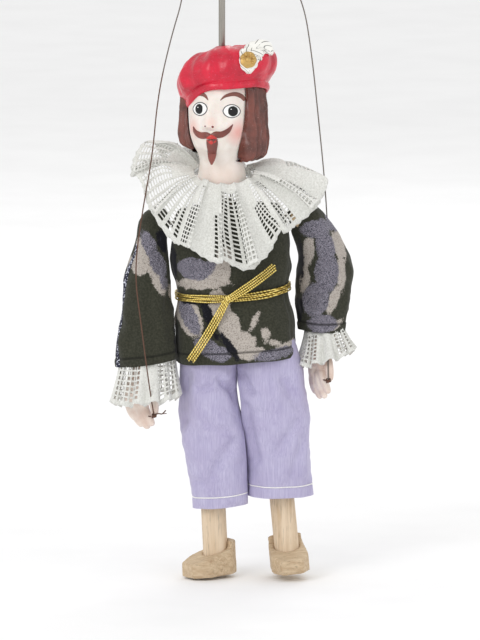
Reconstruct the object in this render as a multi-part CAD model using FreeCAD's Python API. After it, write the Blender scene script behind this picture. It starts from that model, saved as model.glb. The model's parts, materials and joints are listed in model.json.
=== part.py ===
"""Small rod-and-string marionette of a cavalier, in millimetres.

+Z is up, the figure faces -Y, and the origin is the middle of the hang hole in the handle.
Side "r" is the figure's right arm or leg, at -X, and side "l" is its left, at +X.
"""
import FreeCAD, Part
import math
import os

from FreeCAD import Rotation, Vector

os.makedirs("parts", exist_ok=True)

# ---- driving dimensions -------------------------------------------------------------------
X_AXIS = Vector(1, 0, 0)
Y_AXIS = Vector(0, 1, 0)
Z_AXIS = Vector(0, 0, 1)
SIDES = {"r": -1, "l": 1}
RUN_GAP = 0.05            # radial clearance of every turning pin
SLOT_ROOM = 0.8           # how far a fork's slot reaches past its rounded end

KNOB_R = 8.0              # ball at the top of the handle, cut by two flats
KNOB_FLAT = 5.0           # each flat's distance from the middle
HANG_HOLE_R = 2.0
HANDLE_BOTTOM = -38.0
ROD_R = 1.25
ROD_TOP = -20.0
BAR_Z = -44.0
BAR_HALF = 18.0
BAR_HEIGHT = 5.0
BAR_DEPTH = 6.0
STRING_HOLE_X = 15.0
STRING_R = 0.25
STRING_HOLE_R = 0.45

HEAD_YAW = -20.0          # degrees; the head looks over the figure's right shoulder
NECK_BOTTOM = -142.0
LINK_Z = -148.0           # the pin that the body hangs on
LINK_PIN_R = 0.8
LINK_TOP = -142.8
LINK_PLATE = 1.2

LEAN = -3.2               # degrees about Y; the body hangs a little to the figure's left
BODY_X = 2.2              # the body's middle line at the neck pin

SHOULDER_X = 27.0
SHOULDER_DROP = 7.5
ARM_R = 3.4
UPPER_ARM = 31.0
FOREARM = 24.0
ARM_PIN_R = 0.8
HAND_TURN = {"r": 50.0, "l": 0.0}   # degrees about the forearm; the thumb turns to the body
# outward and forward angles of the upper arm, then of the forearm, in degrees
ARM_ANGLES = {"r": (12.0, 2.0, 6.5, 9.0), "l": (13.5, -28.0, 0.0, 24.0)}

HIP_X = 11.7
HIP_DROP = 57.0
HIP_PIN_R = 1.0
LEG_R = 4.7
THIGH = 40.0
SHIN = 43.0               # knee to the underside of the dowel, inside the shoe
LEG_SPLAY = {"r": 0.4, "l": 2.4}
LEG_SWING = {"r": -0.3, "l": -0.5}
KNEE_PIN_R = 1.0
SHOE_YAW = {"r": -58.0, "l": 8.0}
SHOE_LENGTH = 20.0
SHOE_HEIGHT = 10.5
SHOE_TOE_HEIGHT = 5.6
SHOE_SOCKET = 5.5

JACKET_HEM_DROP = 60.0
BELT_DROP = 35.7
BREECHES_HEM_DROP = 115.0

BODY_PIN = Vector(BODY_X, 0, LINK_Z)


# ---- small helpers ------------------------------------------------------------------------
def save(name, shape):
    shape.exportStep("parts/" + name + ".step")


def rod(start, end, radius):
    """A plain round bar between two points."""
    return Part.makeCylinder(radius, (end - start).Length, start, end - start)


def across(middle, radius, half_width, axis=X_AXIS):
    """A disc or a pin along an axis, centred on a point."""
    return Part.makeCylinder(radius, 2 * half_width, middle - axis * half_width, axis)


def oval(z, centre_x, centre_y, half_x, half_y, power=2.0, count=16):
    """A closed level outline: an ellipse at power 2, squarer above it."""
    points = []
    for i in range(count):
        turn = 2 * math.pi * i / count
        c, s = math.cos(turn), math.sin(turn)
        x = centre_x + half_x * math.copysign(abs(c) ** (2 / power), c)
        y = centre_y + half_y * math.copysign(abs(s) ** (2 / power), s)
        points.append(Vector(x, y, z))
    curve = Part.BSplineCurve()
    curve.interpolate(points, True)
    return Part.Wire(curve.toShape())


def loft(sections, grow=0.0, reach=0.0, power=2.0):
    """A smooth solid through level ovals (z, x, y, half_x, half_y), from the top down.

    grow widens every section, and reach moves the first one up and the last one down.
    """
    rings = []
    last = len(sections) - 1
    for i, (z, x, y, half_x, half_y) in enumerate(sections):
        shift = reach * ((i == 0) - (i == last))
        rings.append(oval(z + shift, x, y, half_x + grow, half_y + grow, power))
    return Part.makeLoft(rings, True, False)


def shell(sections, wall, power=2.0):
    """A tube of cloth, open at its top and bottom."""
    return loft(sections, 0.0, 0.0, power).cut(loft(sections, -wall, 0.6, power))


def turned(profile):
    """A solid turned about Z from (radius, z) points."""
    points = [Vector(r, 0, z) for r, z in profile]
    face = Part.Face(Part.makePolygon(points + points[:1]))
    return face.revolve(Vector(), Z_AXIS, 360)


def leaned(shape):
    """Hang a shape made in the body's upright frame from the neck pin."""
    shape = shape.copy()
    shape.rotate(BODY_PIN, Y_AXIS, LEAN)
    return shape


def leaned_point(point):
    turn = Rotation(Y_AXIS, LEAN)
    return BODY_PIN + turn.multVec(point - BODY_PIN)


def body_point(x, y, drop):
    """A point of the upright body frame: across, back and down from the neck pin."""
    return Vector(BODY_X + x, y, LINK_Z - drop)


BODY_AXIS = Rotation(Y_AXIS, LEAN).multVec(X_AXIS)


# ---- control ------------------------------------------------------------------------------
def make_handle():
    grip = turned([
        (0, -5.0), (5.2, -6.2), (4.3, -8.5), (5.0, -12.0), (6.0, -17.0), (6.4, -23.0),
        (6.0, -29.0), (4.9, -33.0), (5.6, -34.5), (5.6, -37.2), (4.8, HANDLE_BOTTOM),
        (0, HANDLE_BOTTOM)])
    knob = Part.makeSphere(KNOB_R)
    slab = Part.makeBox(4 * KNOB_R, 2 * KNOB_FLAT, 4 * KNOB_R,
                        Vector(-2 * KNOB_R, -KNOB_FLAT, -2 * KNOB_R))
    handle = knob.common(slab).fuse(grip)
    handle = handle.cut(across(Vector(), HANG_HOLE_R, 2 * KNOB_R, Y_AXIS))
    return handle.cut(rod(Vector(0, 0, HANDLE_BOTTOM - 5), Vector(0, 0, ROD_TOP), ROD_R))


def make_control_rod():
    bottom = LINK_TOP - LINK_PLATE - 0.1
    wire = rod(Vector(0, 0, bottom), Vector(0, 0, ROD_TOP), ROD_R)
    upset_end = rod(Vector(0, 0, bottom - 1.2), Vector(0, 0, bottom), 2.1)
    return wire.fuse(upset_end)


def make_bar_collar():
    top = BAR_Z - BAR_HEIGHT / 2 - 0.1
    collar = rod(Vector(0, 0, top - 3), Vector(0, 0, top), 2.7)
    return collar.cut(rod(Vector(0, 0, top - 9), Vector(0, 0, top + 9), ROD_R))


def make_hand_bar():
    bar = Part.makeBox(2 * BAR_HALF, BAR_DEPTH, BAR_HEIGHT,
                       Vector(-BAR_HALF, -BAR_DEPTH / 2, BAR_Z - BAR_HEIGHT / 2))
    bar = bar.makeFillet(1.2, bar.Edges)
    low, high = Vector(0, 0, BAR_Z - 9), Vector(0, 0, BAR_Z + 9)
    bar = bar.cut(rod(low, high, ROD_R + RUN_GAP))
    for side in SIDES.values():
        shift = Vector(side * STRING_HOLE_X, 0, 0)
        bar = bar.cut(rod(low + shift, high + shift, STRING_HOLE_R))
    return bar


# ---- head ---------------------------------------------------------------------------------
def yawed(shape):
    shape.rotate(Vector(), Z_AXIS, HEAD_YAW)
    return shape


def make_head():
    """Face, skull and neck, in one casting around the rod."""
    head = loft([
        (-93.0, 0, 1.0, 4.0, 4.5), (-96.0, 0, 0.8, 8.6, 9.4), (-101.0, 0, 0.6, 11.6, 12.4),
        (-107.0, 0, 0.0, 12.6, 13.4), (-113.0, 0, -0.3, 12.5, 13.6),
        (-119.0, 0, -0.8, 11.8, 13.2), (-124.0, 0, -1.4, 10.4, 12.2),
        (-129.0, 0, -1.2, 8.9, 10.0), (-132.5, 0, -0.2, 8.5, 8.8),
        (-137.0, 0, 0, 8.9, 8.8), (NECK_BOTTOM, 0, 0, 9.9, 9.4)])
    nose = Part.makeCone(0.9, 2.0, 8.5, Vector(0, -12.2, -109.5), Vector(0, -0.24, -1))
    head = yawed(head.fuse(nose))
    return head.cut(rod(Vector(0, 0, NECK_BOTTOM - 9), Vector(0, 0, -80), ROD_R))


def make_hair(head):
    """Long straight hair around the back and sides, cut away over the face."""
    hair = loft([
        (-99.0, 0, 1.0, 14.2, 15.0), (-106.0, 0, 1.6, 15.6, 16.0),
        (-116.0, 0, 1.8, 16.2, 16.4), (-126.0, 0, 1.8, 16.6, 16.2),
        (-131.5, 0, 1.6, 15.0, 15.0)])
    face_room = Part.makeBox(2 * 12.2, 30, 60, Vector(-12.2, -33, -140))
    neck_room = loft([(-125.0, 0, -1.0, 10.8, 12.0), (-140.0, 0, 0, 10.4, 10.4)], 0, 1.0)
    rod_room = rod(Vector(0, 0, -140), Vector(0, 0, -80), ROD_R)
    return yawed(hair.cut(face_room).cut(neck_room)).cut(head).cut(rod_room)


def make_beret(head, hair):
    """A soft crown over a narrow rim, tipped back and down to the figure's right."""
    crown = loft([
        (9.5, 3.0, 1.0, 8.0, 8.0), (7.5, 2.6, 0.6, 14.5, 13.5), (3.0, 2.0, 0, 18.2, 17.2),
        (-1.5, 1.0, 0, 18.4, 17.4), (-5.0, 0, 0, 16.6, 16.4), (-8.0, 0, 0, 15.6, 15.8)])
    crown.rotate(Vector(), X_AXIS, -20)
    crown.rotate(Vector(), Y_AXIS, -13)
    crown.translate(Vector(0.6, 2.0, -100.5))
    room = rod(Vector(0, 0, -140), Vector(0, 0, -80), ROD_R)
    return crown.cut(head).cut(hair).cut(room)


def make_plume(beret):
    """A short plume that lies on the crown's front and curls over its top."""
    plume = loft([
        (7.0, 6.5, 2.5, 6.5, 2.0), (3.5, 4.0, 0.6, 7.5, 2.6), (-2.0, 0.6, 0, 4.6, 2.2),
        (-6.5, -0.4, 0, 2.0, 1.2)])
    plume.rotate(Vector(), Z_AXIS, 24)
    plume.rotate(Vector(), X_AXIS, -14)
    plume.translate(Vector(10.2, -13.6, -94.6))
    return plume.cut(beret)


def make_badge(beret, plume):
    middle = Vector(9.6, -16.4, -94.4)
    out = Vector(0.42, -0.9, 0.12)
    badge = Part.makeCylinder(2.9, 2.6, middle, out)
    return badge.cut(plume).cut(beret)


# ---- neck joint ---------------------------------------------------------------------------
def make_neck_link():
    """A stirrup that turns on the rod's end and carries the pin."""
    ear, inner, depth = 1.2, 3.0, 2.2
    outer = inner + ear
    link = Part.makeBox(2 * outer, 2 * depth, LINK_PLATE,
                        Vector(-outer, -depth, LINK_TOP - LINK_PLATE))
    for side in SIDES.values():
        low = LINK_Z
        plate = Part.makeBox(ear, 2 * depth, LINK_TOP - low,
                             Vector(min(side * inner, side * outer), -depth, low))
        boss = across(Vector(side * (inner + ear / 2), 0, low), depth, ear / 2)
        link = link.fuse(plate).fuse(boss)
    link = link.cut(rod(Vector(0, 0, LINK_Z), Vector(0, 0, -130), ROD_R + RUN_GAP))
    return link.cut(across(Vector(0, 0, LINK_Z), LINK_PIN_R, 9)).removeSplitter()


def make_neck_eye():
    pin = Vector(0, 0, LINK_Z)
    eye = across(pin, 2.0, 1.0).fuse(rod(pin, pin - Z_AXIS * 12, 0.9))
    return eye.cut(across(pin, LINK_PIN_R + RUN_GAP, 3))


# ---- body ---------------------------------------------------------------------------------
def make_chest(eye):
    top, bottom = 4.0, 24.0
    block = Part.makeBox(35, 15, bottom - top, body_point(-17.5, -7.5, bottom))
    block = leaned(block.makeFillet(3.0, block.Edges))
    for side in SIDES.values():
        block = block.cut(shoulder_pin(side))
    return block.cut(eye).cut(waist())


def waist():
    return leaned(rod(body_point(0, 0, 20), body_point(0, 0, 48), 4.0))


def shoulder(side):
    return leaned_point(body_point(side * SHOULDER_X, 0, SHOULDER_DROP))


def shoulder_pin(side):
    """A nail through the top of the arm into the chest block."""
    middle = shoulder(side)
    out = BODY_AXIS * side
    shank = rod(middle - out * 14, middle + out * 4.5, ARM_PIN_R)
    return shank.fuse(rod(middle + out * 4.4, middle + out * 5.2, 1.8))


def hip(side):
    return leaned_point(body_point(side * HIP_X, 0, HIP_DROP))


def make_hip_pin():
    return across(leaned_point(body_point(0, 0, HIP_DROP)), HIP_PIN_R, 17.0, BODY_AXIS)


def make_hip_block(pin):
    top, bottom = 44.0, HIP_DROP + 3.4
    block = Part.makeBox(35, 10, bottom - top, body_point(-17.5, -5, bottom))
    block = block.makeFillet(1.2, block.Edges)
    for side in SIDES.values():
        slot = Part.makeBox(4.8, 20, 20, body_point(side * HIP_X - 2.4, -10, HIP_DROP + 15.9))
        block = block.cut(slot).cut(across(body_point(side * HIP_X, 0, HIP_DROP), 4.1, 2.4))
    return leaned(block).cut(waist()).cut(pin)


# ---- limbs --------------------------------------------------------------------------------
def direction(outward, forward, side):
    """A unit vector down a limb, in the leaned body's frame."""
    out, fore = math.radians(outward), math.radians(forward)
    down = Vector(side * math.sin(out), -math.sin(fore) * math.cos(out),
                  -math.cos(fore) * math.cos(out))
    return Rotation(Y_AXIS, LEAN).multVec(down)


def tongue(pin, up, width, thickness, disc_r, reach):
    """The flat end of a dowel: a disc around the pin, and a web towards the dowel."""
    disc = across(pin, disc_r, thickness / 2, BODY_AXIS)
    level = BODY_AXIS.cross(up)
    base = pin - BODY_AXIS * (thickness / 2) - level * width
    corners = [base, base + level * 2 * width]
    rise = (up - BODY_AXIS * up.dot(BODY_AXIS)) * (reach + 0.5)
    outline = corners + [corners[1] + rise, corners[0] + rise, base]
    web = Part.Face(Part.makePolygon(outline)).extrude(BODY_AXIS * thickness)
    return disc.fuse(web.common(across(pin, reach, thickness, BODY_AXIS)))


def fork(pin, down, radius, gap, knuckle, pin_r):
    """The slotted end of the lower dowel, with the pin's bore."""
    head = across(pin, knuckle, radius, BODY_AXIS).fuse(rod(pin, pin + down * 12, radius))
    head = head.cut(across(pin, knuckle + SLOT_ROOM, gap / 2, BODY_AXIS))
    return head.cut(across(pin, pin_r, 2 * radius, BODY_AXIS))


def arm_points(side_name):
    side = SIDES[side_name]
    out_a, fore_a, out_b, fore_b = ARM_ANGLES[side_name]
    top = shoulder(side)
    down_a, down_b = direction(out_a, fore_a, side), direction(out_b, fore_b, side)
    elbow = top + down_a * UPPER_ARM
    return top, elbow, elbow + down_b * FOREARM, down_a, down_b


def make_upper_arm(side_name):
    top, elbow, _, down, _ = arm_points(side_name)
    arm = across(top, 3.8, 3.5, BODY_AXIS).fuse(rod(top, elbow - down * (ARM_R + 0.7), ARM_R))
    arm = arm.fuse(tongue(elbow, down * -1, 1.9, 2.3, ARM_R - 0.4, ARM_R + 2))
    arm = arm.cut(across(top, ARM_PIN_R + RUN_GAP, 6, BODY_AXIS))
    return arm.cut(across(elbow, ARM_PIN_R + RUN_GAP, 6, BODY_AXIS))


def make_forearm(side_name):
    _, elbow, wrist, _, down = arm_points(side_name)
    arm = fork(elbow, down, ARM_R, 2.5, ARM_R, ARM_PIN_R)
    return arm.fuse(rod(elbow + down * 9, wrist, ARM_R))


def make_hand(side_name):
    """A cast mitten of a hand on the end of the forearm, with its thumb in front."""
    _, _, wrist, _, down = arm_points(side_name)
    palm = loft([
        (0, 0, 0, 3.0, 3.0), (-4, 0, 0, 3.2, 3.6), (-9, 0, 0.8, 3.4, 5.6),
        (-14, 0, 1.6, 3.2, 5.6), (-19, 0, 1.2, 2.8, 4.6), (-23, 0, -0.6, 1.9, 2.8)])
    thumb = loft([
        (-7, 0, -3.0, 1.7, 1.9), (-12, 0, -5.2, 1.7, 1.8), (-17, 0, -5.4, 1.5, 1.6),
        (-20.5, 0, -4.6, 0.9, 0.9)])
    hand = palm.fuse(thumb)
    hand.rotate(Vector(), Z_AXIS, HAND_TURN[side_name])
    return placed_on(hand, wrist, down)


def placed_on(shape, point, down):
    """Turn a shape made hanging from the origin so that it hangs along a limb."""
    turn = Rotation(Z_AXIS * -1, down)
    shape = shape.copy()
    shape.Placement = FreeCAD.Placement(point, turn).multiply(shape.Placement)
    return shape


def leg_points(side_name):
    side = SIDES[side_name]
    down = direction(LEG_SPLAY[side_name], LEG_SWING[side_name], side)
    top = hip(side)
    knee = top + down * THIGH
    return top, knee, knee + down * SHIN, down


def make_thigh(side_name):
    top, knee, _, down = leg_points(side_name)
    thigh = rod(top + down * 7, knee - down * (LEG_R + 0.7), LEG_R)
    thigh = thigh.fuse(tongue(top, down, 3.2, 4.4, 3.5, 8.0))
    thigh = thigh.fuse(tongue(knee, down * -1, 2.6, 3.4, LEG_R - 0.4, LEG_R + 2))
    thigh = thigh.cut(across(top, HIP_PIN_R + RUN_GAP, 6, BODY_AXIS))
    return thigh.cut(across(knee, KNEE_PIN_R + RUN_GAP, 6, BODY_AXIS))


def make_shin(side_name):
    _, knee, ankle, down = leg_points(side_name)
    shin = fork(knee, down, LEG_R, 3.6, LEG_R, KNEE_PIN_R)
    return shin.fuse(rod(knee + down * 9, ankle, LEG_R))


def make_shoe(side_name):
    """A sawn block: a raised heel around the dowel and a top that slopes to the toe."""
    heel, half, toe_half = 7.0, 6.6, 7.2
    toe = heel - SHOE_LENGTH
    outline = [
        Vector(-half + 3, heel, 0), Vector(half - 3, heel, 0), Vector(half, heel - 3.5, 0),
        Vector(toe_half, toe + 6, 0), Vector(toe_half - 3, toe, 0),
        Vector(-toe_half + 3, toe, 0), Vector(-toe_half, toe + 6, 0),
        Vector(-half, heel - 3.5, 0)]
    face = Part.Face(Part.makePolygon(outline + outline[:1]))
    shoe = face.extrude(Z_AXIS * (SHOE_HEIGHT + 2.5))
    step = heel - 8.0
    slope = [
        Vector(-20, step, SHOE_HEIGHT - 1.5), Vector(-20, toe - 2, SHOE_TOE_HEIGHT - 0.6),
        Vector(-20, toe - 2, 30), Vector(-20, step + 4, 30), Vector(-20, step + 4, SHOE_HEIGHT)]
    cutter = Part.Face(Part.makePolygon(slope + slope[:1])).extrude(X_AXIS * 40)
    shoe = shoe.cut(cutter)
    socket = SHOE_HEIGHT - 1.5 - SHOE_SOCKET
    shoe = shoe.cut(rod(Vector(0, 0, socket), Vector(0, 0, 30), LEG_R))
    shoe.translate(Vector(0, 0, -socket))
    shoe.rotate(Vector(), Z_AXIS, SHOE_YAW[side_name])
    _, _, ankle, down = leg_points(side_name)
    return placed_on(shoe, ankle, down)


# ---- clothes ------------------------------------------------------------------------------
def make_jacket():
    """The jacket's trunk, open at the neck, the hem and the two armholes."""
    drops = [
        (4.0, 19.4, 10.4), (9.0, 21.4, 11.8), (18.0, 22.3, 12.6), (28.0, 22.2, 12.6),
        (BELT_DROP, 20.6, 12.0), (46.0, 22.0, 14.0), (JACKET_HEM_DROP, 22.6, 15.2)]
    sections = [(LINK_Z - drop, BODY_X, 0, half_x, half_y) for drop, half_x, half_y in drops]
    jacket = shell(sections, 1.1, 2.4)
    for side in SIDES.values():
        jacket = jacket.cut(across(body_point(side * 22, 0, SHOULDER_DROP), 3.2, 6))
    return leaned(jacket)


def make_ruff():
    """A deep fluted collar: a closed band from the neck down over the shoulders."""
    steps = 48
    flutes = 12
    rows = []
    for i in range(steps):
        turn = 2 * math.pi * i / steps
        c, s = math.cos(turn), math.sin(turn)
        wave = math.cos(flutes * turn)
        front = max(0.0, -s)
        inner = Vector(12.6 * c, 12.4 * s, 0.8)
        reach_x, reach_y = 35.0, 24.0
        drop = -6.0 - 18.0 * front ** 2 - 2.0 * abs(s)
        outer = Vector((reach_x + wave) * c, (reach_y + wave) * s, drop + 1.4 * wave)
        rows.append((inner, outer))
    thick = Vector(0, 0, 1.6)
    faces = []
    for i in range(steps):
        inner_a, outer_a = rows[i]
        inner_b, outer_b = rows[(i + 1) % steps]
        top = [inner_a + thick, outer_a + thick, outer_b + thick, inner_b + thick]
        low = [inner_a, outer_a, outer_b, inner_b]
        for quad in (top, low[::-1], [low[1], low[2], top[2], top[1]],
                     [low[0], top[0], top[3], low[3]]):
            for corner in ((0, 1, 2), (0, 2, 3)):
                outline = [quad[k] for k in corner]
                faces.append(Part.Face(Part.makePolygon(outline + outline[:1])))
    ruff = Part.Solid(Part.makeShell(faces))
    ruff.translate(Vector(BODY_X - 1.2, 0, LINK_Z + 3.4))
    return leaned(ruff)


def make_belt():
    level = LINK_Z - BELT_DROP
    sections = [(level + 1.5, BODY_X, 0, 21.7, 13.1), (level - 1.5, BODY_X, 0, 21.7, 13.1)]
    return leaned(shell(sections, 0.8, 2.4))


BELT_KNOT = Vector(BODY_X - 2.4, -13.9, LINK_Z - BELT_DROP)


def make_belt_knot():
    knot = Part.makeBox(3.6, 1.6, 3.6, BELT_KNOT - Vector(1.8, 0.8, 1.8))
    return leaned(knot.makeFillet(0.6, knot.Edges))


def make_belt_ends():
    """The belt's two stiff ends, which stand off the knot in one slanting line."""
    ends = []
    for across_x, rise, forward in ((18.0, 13.5, 1.5), (-14.0, -23.0, 2.6)):
        start = BELT_KNOT + Vector(0, -0.8, 0)
        line = Vector(across_x, -forward, rise)
        side = Vector(-rise, 0, across_x).normalize() * 1.2
        outline = [start + side, start + line + side, start + line - side, start - side]
        face = Part.Face(Part.makePolygon(outline + outline[:1]))
        ends.append(face.extrude(Vector(0, -0.8, 0)))
    return leaned(ends[0].fuse(ends[1])).removeSplitter()


def make_trousers_seat():
    drops = [(45.0, 20.0, 9.6), (54.0, 20.6, 11.6), (66.0, 21.4, 12.6)]
    sections = [(LINK_Z - drop, BODY_X, 0, half_x, half_y) for drop, half_x, half_y in drops]
    return leaned(shell(sections, 0.9, 2.6))


def make_trouser_leg(side_name):
    """One leg of the breeches, from under the seat to below the knee."""
    side = SIDES[side_name]
    top, _, _, down = leg_points(side_name)
    sections = []
    for drop, half_x, half_y, out in ((68.0, 11.0, 11.6, 0.3), (80.0, 11.3, 11.4, 0.5),
                                      (98.0, 11.6, 11.0, 0.7), (BREECHES_HEM_DROP, 10.8, 10.4, 0)):
        length = drop - HIP_DROP
        sections.append((-length, side * out, 0, half_x, half_y))
    return placed_on(shell(sections, 0.9), top, down)


SLEEVE_SHAPE = {
    "r": ((0.18, 5.2, 5.6), (0.36, 6.6, 7.0), (0.65, 8.6, 8.4), (1.0, 10.2, 9.0)),
    "l": ((0.18, 5.2, 5.6), (0.36, 6.8, 7.4), (0.65, 9.2, 9.0), (1.0, 8.6, 8.2)),
}
SLEEVE_END = {"r": 4.0, "l": 3.0}
# each cuff's half widths: at its top, at its middle, and across and along its rim
CUFF_HALF = {"r": (7.0, 8.8, 12.2, 9.2), "l": (6.4, 7.0, 9.6, 10.6)}


def make_sleeve(side_name, thread):
    """A full sleeve around the bent arm; each ring is centred on the arm at its height."""
    top, elbow, wrist, _, down = arm_points(side_name)
    end = wrist - down * SLEEVE_END[side_name]
    sections = []
    for share, half_x, half_y in SLEEVE_SHAPE[side_name]:
        z = top.z + (end.z - top.z) * share
        if z > elbow.z:
            point = top + (elbow - top) * ((z - top.z) / (elbow.z - top.z))
        else:
            point = elbow + (end - elbow) * ((z - elbow.z) / (end.z - elbow.z))
        sections.append((z, point.x, point.y, half_x, half_y))
    sleeve = shell(sections, 0.9)
    return sleeve.cut(thread) if thread else sleeve


def make_cuff(side_name):
    """A gathered lace frill that flares over the back of the hand."""
    _, _, wrist, _, down = arm_points(side_name)
    top, middle, rim_x, rim_y = CUFF_HALF[side_name]
    sections = [(-0.5, 0, 0, top, 6.2), (-4.0, 0, 0, middle, 7.1), (-12.0, 0, 0, rim_x, rim_y)]
    return placed_on(shell(sections, 0.9), wrist, down)


# ---- strings ------------------------------------------------------------------------------
def hand_tip(side_name):
    """Where the thread is tied: on the front of the thumb."""
    _, _, wrist, _, down = arm_points(side_name)
    thumb = Rotation(Z_AXIS, HAND_TURN[side_name]).multVec(Vector(0, -7.4, -18.0))
    return wrist + Rotation(Z_AXIS * -1, down).multVec(thumb)


STRING_TOP = BAR_Z + BAR_HEIGHT / 2 + 0.2
STRING_ROUTE = {
    "r": [(-15.0, 0, STRING_TOP), (-15.0, 0, -56.0), (-14.2, -0.6, -69.0),
          (-19.4, -1.6, -86.0), (-24.2, -3.4, -107.0), (-26.4, -6.6, -131.0),
          (-30.2, -11.8, -151.0), (-33.2, -14.4, -173.0), (-30.6, -16.8, -193.0),
          (-28.4, -18.2, -210.0), (-26.8, -17.0, -221.5)],
    "l": [(15.0, 0, STRING_TOP), (15.4, 0, -52.0), (23.6, 0, -60.0), (30.8, 0, -72.0),
          (34.0, 0.6, -92.0), (36.6, 1.4, -117.0), (39.0, 3.4, -141.0), (40.2, 5.6, -160.0),
          (40.6, 7.5, -176.0), (41.2, 6.0, -188.0), (40.6, 0.7, -199.5),
          (40.2, -7.3, -208.8)],
}


def route(side_name):
    end = hand_tip(side_name)
    points = [Vector(*p) for p in STRING_ROUTE[side_name]]
    return points + [end]


def thread_path(points):
    """Straight runs joined by tangent arcs, each as large as its two runs allow."""
    edges = []
    start = points[0]
    for before, corner, after in zip(points, points[1:], points[2:]):
        back, ahead = before - corner, after - corner
        turn = math.pi - back.getAngle(ahead)
        cut = 0.45 * min(back.Length, ahead.Length)
        print("thread arc radius", round(cut / math.tan(turn / 2), 1))
        back.normalize()
        ahead.normalize()
        enter, leave = corner + back * cut, corner + ahead * cut
        sink = (back + ahead).normalize() * (cut * math.tan(turn / 4))
        edges.append(Part.LineSegment(start, enter).toShape())
        edges.append(Part.Arc(enter, corner + sink, leave).toShape())
        start = leave
    edges.append(Part.LineSegment(start, points[-1]).toShape())
    return Part.Wire(edges)


def make_thread(side_name, radius):
    points = route(side_name)
    path = thread_path(points)
    first = points[1] - points[0]
    ring = Part.Wire(Part.makeCircle(radius, points[0], first))
    thread = path.makePipeShell([ring], True, True)
    ideal = math.pi * radius ** 2 * path.Length
    print("thread", side_name, "length", round(path.Length, 1),
          "volume ratio", round(thread.Volume / ideal, 4))
    return thread


def make_bar_knot(side):
    """A stopper knot on top of the bar, with the thread's end inside it."""
    low = Vector(side * STRING_HOLE_X, 0, BAR_Z + BAR_HEIGHT / 2)
    return rod(low, low + Z_AXIS * 1.8, 1.0).cut(rod(low, low + Z_AXIS * 0.2, STRING_R))


def make_hand_knot(side_name):
    _, _, _, _, down = arm_points(side_name)
    end = hand_tip(side_name)
    knot = Part.makeSphere(0.8, end + down * 0.9)
    return knot.cut(make_hand(side_name))


# ---- the whole figure ---------------------------------------------------------------------
def main():
    save("handle", make_handle())
    save("control_rod", make_control_rod())
    save("bar_collar", make_bar_collar())
    save("hand_bar", make_hand_bar())

    head = make_head()
    hair = make_hair(head)
    beret = make_beret(head, hair)
    plume = make_plume(beret)
    save("head", head)
    save("hair", hair)
    save("beret", beret)
    save("plume", plume)
    save("badge", make_badge(beret, plume))

    eye = make_neck_eye()
    save("neck_link", make_neck_link())
    save("link_pin", across(Vector(0, 0, LINK_Z), LINK_PIN_R, 4.4))
    save("neck_eye", eye)

    hip_pin = make_hip_pin()
    save("chest_block", make_chest(eye))
    save("waist_dowel", waist())
    save("hip_pin", hip_pin)
    save("hip_block", make_hip_block(hip_pin))

    save("jacket", make_jacket())
    save("ruff", make_ruff())
    save("belt", make_belt())
    save("belt_knot", make_belt_knot())
    save("belt_ends", make_belt_ends())
    save("trousers_seat", make_trousers_seat())

    for name, side in SIDES.items():
        _, elbow, _, _, _ = arm_points(name)
        _, knee, _, _ = leg_points(name)
        save("shoulder_pin_" + name, shoulder_pin(side))
        save("upper_arm_" + name, make_upper_arm(name))
        save("elbow_pin_" + name, across(elbow, ARM_PIN_R, ARM_R - 0.1, BODY_AXIS))
        save("forearm_" + name, make_forearm(name))
        save("hand_" + name, make_hand(name))
        save("cuff_" + name, make_cuff(name))
        save("thigh_" + name, make_thigh(name))
        save("knee_pin_" + name, across(knee, KNEE_PIN_R, LEG_R - 0.1, BODY_AXIS))
        save("shin_" + name, make_shin(name))
        save("shoe_" + name, make_shoe(name))
        save("trouser_leg_" + name, make_trouser_leg(name))
        wide_thread = make_thread(name, 0.9) if name == "l" else None
        save("sleeve_" + name, make_sleeve(name, wide_thread))
        save("hand_string_" + name, make_thread(name, STRING_R))
        save("bar_knot_" + name, make_bar_knot(side))
        save("hand_knot_" + name, make_hand_knot(name))
        print(name, "shoulder", shoulder(side), "elbow", elbow, "hip", hip(side), "knee", knee)


main()
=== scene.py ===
"""The marionette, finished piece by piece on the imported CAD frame.

The helpers work in millimetres in the row frame (+Z up, the figure faces -Y) and a mesh is made
in metres. Side "r" is the figure's right, at -X, and side "l" is its left, at +X.
"""

import bpy
import json
import math

import numpy as np
from mathutils import Matrix, Vector, noise
from mathutils.bvhtree import BVHTree


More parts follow.
